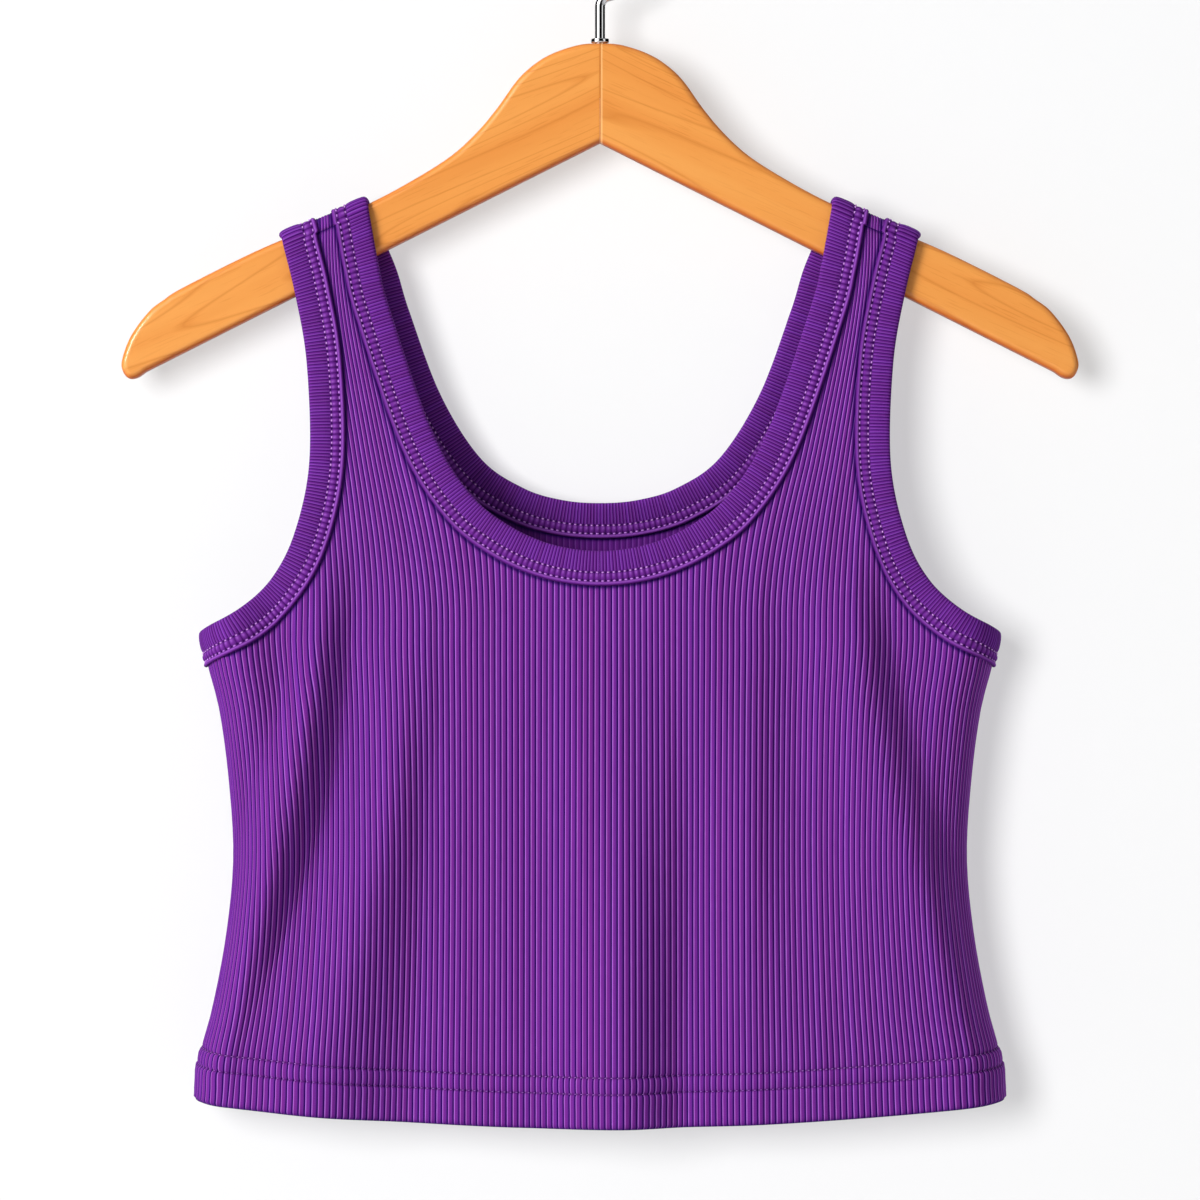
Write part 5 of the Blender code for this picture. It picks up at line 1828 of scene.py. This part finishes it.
@dataclass(frozen=True)
class HangerHalf:
    """Half of the wooden hanger: a flat outline with rounded edges, joined at the centre seam."""

    direction: int
    node: str
    thickness: float = 12.0 * MM
    edge_radius: float = 3.0 * MM
    seam: float = 0.03 * MM
    bore_radius: float = 2.38 * MM
    bore_foot: float = -85.05 * MM
    bore_head: float = -50.0 * MM
    flat_inset: float = 0.25 * MM
    grain_angle: float = math.radians(-24.0)
    outline: tuple[tuple[float, float], ...] = (
        (0.03, -60.0), (8.0, -60.5), (15.3, -62.3), (22.0, -64.8), (27.8, -67.9), (34.4, -73.0),
        (39.9, -79.0), (47.8, -90.2), (57.1, -101.3), (69.2, -112.4), (86.8, -123.6), (107.7, -134.7),
        (134.0, -145.8), (160.6, -157.0), (194.0, -173.7), (202.8, -179.3), (209.8, -184.8),
        (218.1, -196.0), (222.3, -207.1), (222.0, -212.4), (219.4, -215.8), (215.4, -215.6),
        (211.0, -212.7), (0.03, -106.4),
    )

    def points(self) -> np.ndarray:
        """Outline on a smooth curve through its rows, with the long lower edge and the seam straight.

        Returns:
            Places across and up.
        """
        rows = np.array(self.outline) * MM
        curve = rows[:-1]
        padded = np.vstack([2 * curve[0] - curve[1], curve, 2 * curve[-1] - curve[-2]])
        along = np.linspace(0.0, 1.0, 24)[:, None]
        lower = curve[-1] * (1 - along) + rows[-1] * along
        line = np.vstack([spline(padded, 5), lower])
        line[:, 0] = np.maximum(line[:, 0], self.seam)
        line[:, 0] *= self.direction
        return line

    def build(self) -> bpy.types.Object:
        """Shape a disc to the outline, pull it to its thickness and round its edges.

        Returns:
            The piece.
        """
        line = self.points()
        deselect_objects()
        bpy.ops.mesh.primitive_circle_add(vertices=len(line), radius=0.1, fill_type="NGON")
        piece = bpy.context.object
        piece.name = self.node + "_wood"
        for point, (x, z) in zip(piece.data.vertices, line):
            point.co = (x, -self.thickness / 2, z)
        start_edit()
        bpy.ops.mesh.extrude_region_move(TRANSFORM_OT_translate={"value": (0.0, self.thickness, 0.0)})
        bpy.ops.mesh.select_all(action="SELECT")
        bpy.ops.mesh.normals_make_consistent(inside=False)
        bpy.ops.mesh.select_all(action="DESELECT")
        bpy.ops.object.mode_set(mode="OBJECT")
        self.select_rim(piece.data)
        bpy.ops.object.mode_set(mode="EDIT")
        bpy.ops.mesh.select_mode(type="EDGE")
        bpy.ops.mesh.bevel(offset=self.edge_radius, segments=6, profile=0.5, affect="EDGES")
        self.hold_flats(piece.data)
        self.bore(piece)
        piece.data.name = piece.name
        bpy.ops.object.shade_smooth_by_angle(angle=math.radians(35))
        grain = WoodFinish(self.node + "_grain", self.grain_angle * self.direction)
        piece.data.materials.append(grain.build())
        return piece

    def bore(self, piece: bpy.types.Object) -> None:
        """Cut this half of the shank's hole.

        Args:
            piece: the half, in object mode.
        """
        deselect_objects()
        bpy.ops.mesh.primitive_cylinder_add(
            vertices=24, radius=self.bore_radius, depth=self.bore_head - self.bore_foot,
            location=(0.0, 0.0, (self.bore_head + self.bore_foot) / 2),
        )
        drill = bpy.context.object
        deselect_objects()
        piece.select_set(True)
        bpy.context.view_layer.objects.active = piece
        hole = piece.modifiers.new("hole", "BOOLEAN")
        hole.operation = "DIFFERENCE"
        hole.solver = "EXACT"
        hole.object = drill
        bpy.ops.object.modifier_apply(modifier=hole.name)
        bpy.data.objects.remove(drill)

    def hold_flats(self, data: bpy.types.Mesh) -> None:
        """Inset the two large flat faces and the seam face a little, so that they stay flat in the shading.

        Args:
            data: the mesh, in edit mode; it is left in object mode.
        """
        bpy.ops.mesh.select_all(action="DESELECT")
        bpy.ops.object.mode_set(mode="OBJECT")
        for face in data.polygons:
            face.select = face.area > 200 * MM * MM
        bpy.ops.object.mode_set(mode="EDIT")
        bpy.ops.mesh.select_mode(type="FACE")
        bpy.ops.mesh.inset(thickness=self.flat_inset, depth=0.0, use_individual=True)
        bpy.ops.object.mode_set(mode="OBJECT")

    def select_rim(self, data: bpy.types.Mesh) -> None:
        """Select the edges of the two faces, apart from those on the centre seam.

        Args:
            data: the mesh.
        """
        for edge in data.edges:
            ends = [data.vertices[number].co for number in edge.vertices]
            on_face = abs(ends[0].y - ends[1].y) < 0.01 * MM
            on_seam = all(abs(end.x) < 2 * self.seam for end in ends)
            edge.select = on_face and not on_seam


@dataclass(frozen=True)
class Hook:
    """Wire hook: a shank, a bend and a crown that carries the hanger."""

    wire_radius: float = 2.35 * MM
    inner_radius: float = 18.0 * MM
    bend_radius: float = 5.0 * MM
    tip_angle: float = math.radians(198)
    shank_foot: float = -85.0 * MM
    tip_rounding: float = 0.85

    def build(self, finish: bpy.types.Material) -> bpy.types.Object:
        """Pull and spin a disc along the wire's run and round its tip.

        Args:
            finish: material of the wire.

        Returns:
            The piece.
        """
        crown_radius = self.inner_radius + self.wire_radius
        crown_z = -self.inner_radius
        bend_z = crown_z - math.sqrt((self.bend_radius + crown_radius) ** 2 - self.bend_radius**2)
        join = math.atan2(bend_z - crown_z, self.bend_radius)
        deselect_objects()
        bpy.ops.mesh.primitive_circle_add(
            vertices=20, radius=self.wire_radius, fill_type="NGON", location=(0.0, 0.0, self.shank_foot)
        )
        piece = bpy.context.object
        piece.name = "hook_wire"
        bpy.ops.object.transform_apply(location=True)
        start_edit()
        pull = {"value": (0.0, 0.0, bend_z - self.shank_foot)}
        across = (0.0, 1.0, 0.0)
        bpy.ops.mesh.extrude_region_move(TRANSFORM_OT_translate=pull)
        bpy.ops.mesh.spin(steps=14, angle=join, center=(self.bend_radius, 0.0, bend_z), axis=across)
        bpy.ops.mesh.spin(steps=64, angle=self.tip_angle - join, center=(0.0, 0.0, crown_z), axis=across)
        bpy.ops.mesh.select_mode(type="EDGE")
        rounding = self.tip_rounding * self.wire_radius
        bpy.ops.mesh.bevel(offset=rounding, segments=5, profile=0.5, affect="EDGES")
        bpy.ops.mesh.select_all(action="SELECT")
        bpy.ops.mesh.remove_doubles(threshold=0.01 * MM)
        bpy.ops.mesh.normals_make_consistent(inside=False)
        bpy.ops.object.mode_set(mode="OBJECT")
        bpy.ops.object.shade_smooth_by_angle(angle=math.radians(40))
        piece.data.materials.append(finish)
        return piece


@dataclass(frozen=True)
class Collar:
    """Small turned ring on the wood, round the shank."""

    radius: float = 4.2 * MM
    bore: float = 2.6 * MM
    foot: float = -59.7 * MM
    height: float = 2.0 * MM
    rim: float = 0.45 * MM

    def build(self, finish: bpy.types.Material) -> bpy.types.Object:
        """Give a short tube its wall and soften its rims.

        Args:
            finish: material of the ring.

        Returns:
            The piece.
        """
        deselect_objects()
        bpy.ops.mesh.primitive_cylinder_add(
            vertices=40, radius=self.radius, depth=self.height, end_fill_type="NOTHING",
            location=(0.0, 0.0, self.foot + self.height / 2),
        )
        piece = bpy.context.object
        piece.name = "hook_collar_ring"
        bpy.ops.object.transform_apply(location=True)
        wall = piece.modifiers.new("wall", "SOLIDIFY")
        wall.thickness = self.radius - self.bore
        wall.offset = -1.0
        bpy.ops.object.modifier_apply(modifier=wall.name)
        rims = piece.modifiers.new("rims", "BEVEL")
        rims.width = self.rim
        rims.segments = 3
        rims.limit_method = "ANGLE"
        bpy.ops.object.modifier_apply(modifier=rims.name)
        bpy.ops.object.shade_smooth_by_angle(angle=math.radians(40))
        piece.data.materials.append(finish)
        return piece


@dataclass
class Hanger:
    """Both wooden halves, the hook and its collar."""

    halves: tuple[HangerHalf, ...] = (HangerHalf(-1, "hanger_left"), HangerHalf(1, "hanger_right"))
    hook: Hook = Hook()
    collar: Collar = Collar()

    def build(self) -> None:
        """Build, dress and declare every hard piece."""
        for half in self.halves:
            declare(half.build(), half.node)
        wire = WireFinish("polished_wire").build()
        declare(self.hook.build(wire), "hook")
        declare(self.collar.build(wire), "hook_collar")


# ---------------------------------------------------------------- studio
@dataclass(frozen=True)
class Lamp:
    """A round soft lamp that is aimed at the middle of the picture."""

    name: str
    place: tuple[float, float, float]
    size: float
    power: float
    for_wall: bool = False
    through_wall: bool = False
    in_metal: bool = False

    def build(self, aim: Vector, lit: bpy.types.Collection) -> None:
        """Add the lamp to the scene.

        Args:
            aim: place that it is turned to.
            lit: what it shines on.
        """
        data = bpy.data.lights.new(self.name, "AREA")
        data.shape = "DISK"
        data.size = self.size
        data.energy = self.power
        lamp = bpy.data.objects.new(self.name, data)
        bpy.context.scene.collection.objects.link(lamp)
        lamp.location = self.place
        lamp.rotation_euler = (aim - Vector(self.place)).to_track_quat("-Z", "Y").to_euler()
        lamp.light_linking.receiver_collection = lit
        if self.through_wall:
            lamp.light_linking.blocker_collection = lit
        lamp.visible_glossy = self.in_metal
        lamp.visible_camera = False


@dataclass
class Studio:
    """White wall and floor, soft light from the upper left, and a level camera in front. The wall has a lamp
    of its own, so that its shadow and the light on the cloth are set apart."""

    lens: float = 200.0
    seen_width: float = 0.5569
    middle_z: float = -0.3190
    object_y: float = -0.010
    wall_y: float = 0.040
    floor_z: float = -0.80
    stage_size: float = 16.0
    surround_radius: float = 9.0
    sensor: float = 36.0
    floor_tone: Colour = (0.66, 0.66, 0.67)
    wall_tone: Colour = (0.235, 0.235, 0.237)
    wall_glow: float = 0.515
    world_strength: float = 0.20
    seen_world: Colour = (0.955, 0.955, 0.965)
    seen_strength: float = 0.90
    lamps: tuple[Lamp, ...] = (
        Lamp("key", (-4.72, -3.98, 2.02), 2.60, 500.0, in_metal=True),
        Lamp("fill", (1.10, -2.60, 0.10), 1.60, 3.0),
        Lamp("top", (0.10, -0.90, 1.60), 1.20, 3.0),
        Lamp("wall_lamp", (-1.00, -3.10, -0.06), 1.15, 190.0, for_wall=True),
        Lamp("back", (1.60, 3.20, 0.60), 1.60, 60.0, through_wall=True),
    )

    def build(self) -> None:
        """Make the stage, the lights and the camera."""
        wall = self.stage()
        self.world()
        only_wall = self.receivers("wall_alone", wall, "INCLUDE")
        all_but_wall = self.receivers("all_but_wall", wall, "EXCLUDE")
        aim = Vector((0.0, 0.0, self.middle_z))
        for lamp in self.lamps:
            lamp.build(aim, only_wall if lamp.for_wall else all_but_wall)
        self.camera()
        LOG.info("studio: %d lamps", len(self.lamps))

    def stage(self) -> bpy.types.Object:
        """Pale floor, a wall close behind, and a surround that only polished metal sees.

        Returns:
            The wall.
        """
        size = self.stage_size
        deselect_objects()
        bpy.ops.mesh.primitive_plane_add(size=size, location=(0.0, 0.0, self.floor_z))
        floor = bpy.context.object
        floor.name = "floor"
        floor.data.materials.append(StageFinish("floor_white", self.floor_tone).build())
        middle = (0.0, self.wall_y, self.floor_z + size / 2)
        bpy.ops.mesh.primitive_plane_add(size=size, location=middle, rotation=(math.pi / 2, 0.0, 0.0))
        wall = bpy.context.object
        wall.name = "wall"
        paint = StageFinish("wall_white", self.wall_tone, clear_from_behind=True, glow=self.wall_glow)
        wall.data.materials.append(paint.build())
        wall.visible_glossy = False
        bpy.ops.mesh.primitive_cylinder_add(
            vertices=96, radius=self.surround_radius, depth=size, end_fill_type="NOTHING"
        )
        surround = bpy.context.object
        surround.name = "surround"
        surround.visible_camera = False
        surround.visible_diffuse = False
        surround.visible_shadow = False
        surround.data.materials.append(SurroundFinish("surround_fields").build())
        return wall

    def receivers(self, name: str, wall: bpy.types.Object, state: str) -> bpy.types.Collection:
        """What a lamp shines on.

        Args:
            name: name of the collection.
            wall: the wall.
            state: INCLUDE for the wall alone, EXCLUDE for all but the wall.

        Returns:
            The collection.
        """
        group = bpy.data.collections.new(name)
        group.objects.link(wall)
        group.collection_objects[0].light_linking.link_state = state
        return group

    def world(self) -> None:
        """Weak white light from all round, behind which the camera sees a pale ground."""
        world = bpy.data.worlds.new("studio")
        world.use_nodes = True
        nodes = world.node_tree.nodes
        links = world.node_tree.links
        background = nodes["Background"]
        background.inputs[0].default_value = (1.0, 1.0, 1.0, 1.0)
        background.inputs[1].default_value = self.world_strength
        seen = nodes.new("ShaderNodeBackground")
        seen.inputs[0].default_value = (*self.seen_world, 1.0)
        seen.inputs[1].default_value = self.seen_strength
        rays = nodes.new("ShaderNodeLightPath")
        both = nodes.new("ShaderNodeMixShader")
        links.new(rays.outputs["Is Camera Ray"], both.inputs[0])
        links.new(background.outputs[0], both.inputs[1])
        links.new(seen.outputs[0], both.inputs[2])
        links.new(both.outputs[0], nodes["World Output"].inputs["Surface"])
        bpy.context.scene.world = world

    def camera(self) -> None:
        """Level camera whose frame is the photograph's."""
        scene = bpy.context.scene
        scene.view_settings.view_transform = "Standard"
        data = bpy.data.cameras.new("camera")
        data.lens = self.lens
        data.sensor_width = self.sensor
        camera = bpy.data.objects.new("camera", data)
        scene.collection.objects.link(camera)
        distance = self.seen_width * self.lens / self.sensor
        camera.location = (0.0, self.object_y - distance, self.middle_z)
        camera.rotation_euler = (math.pi / 2, 0.0, 0.0)
        scene.camera = camera


def main() -> None:
    """Build the garment, its hanger and the studio."""
    logging.basicConfig(level=logging.INFO, format="%(name)s: %(message)s")
    Garment().build()
    Hanger().build()
    Studio().build()


if __name__ == "__main__":
    main()
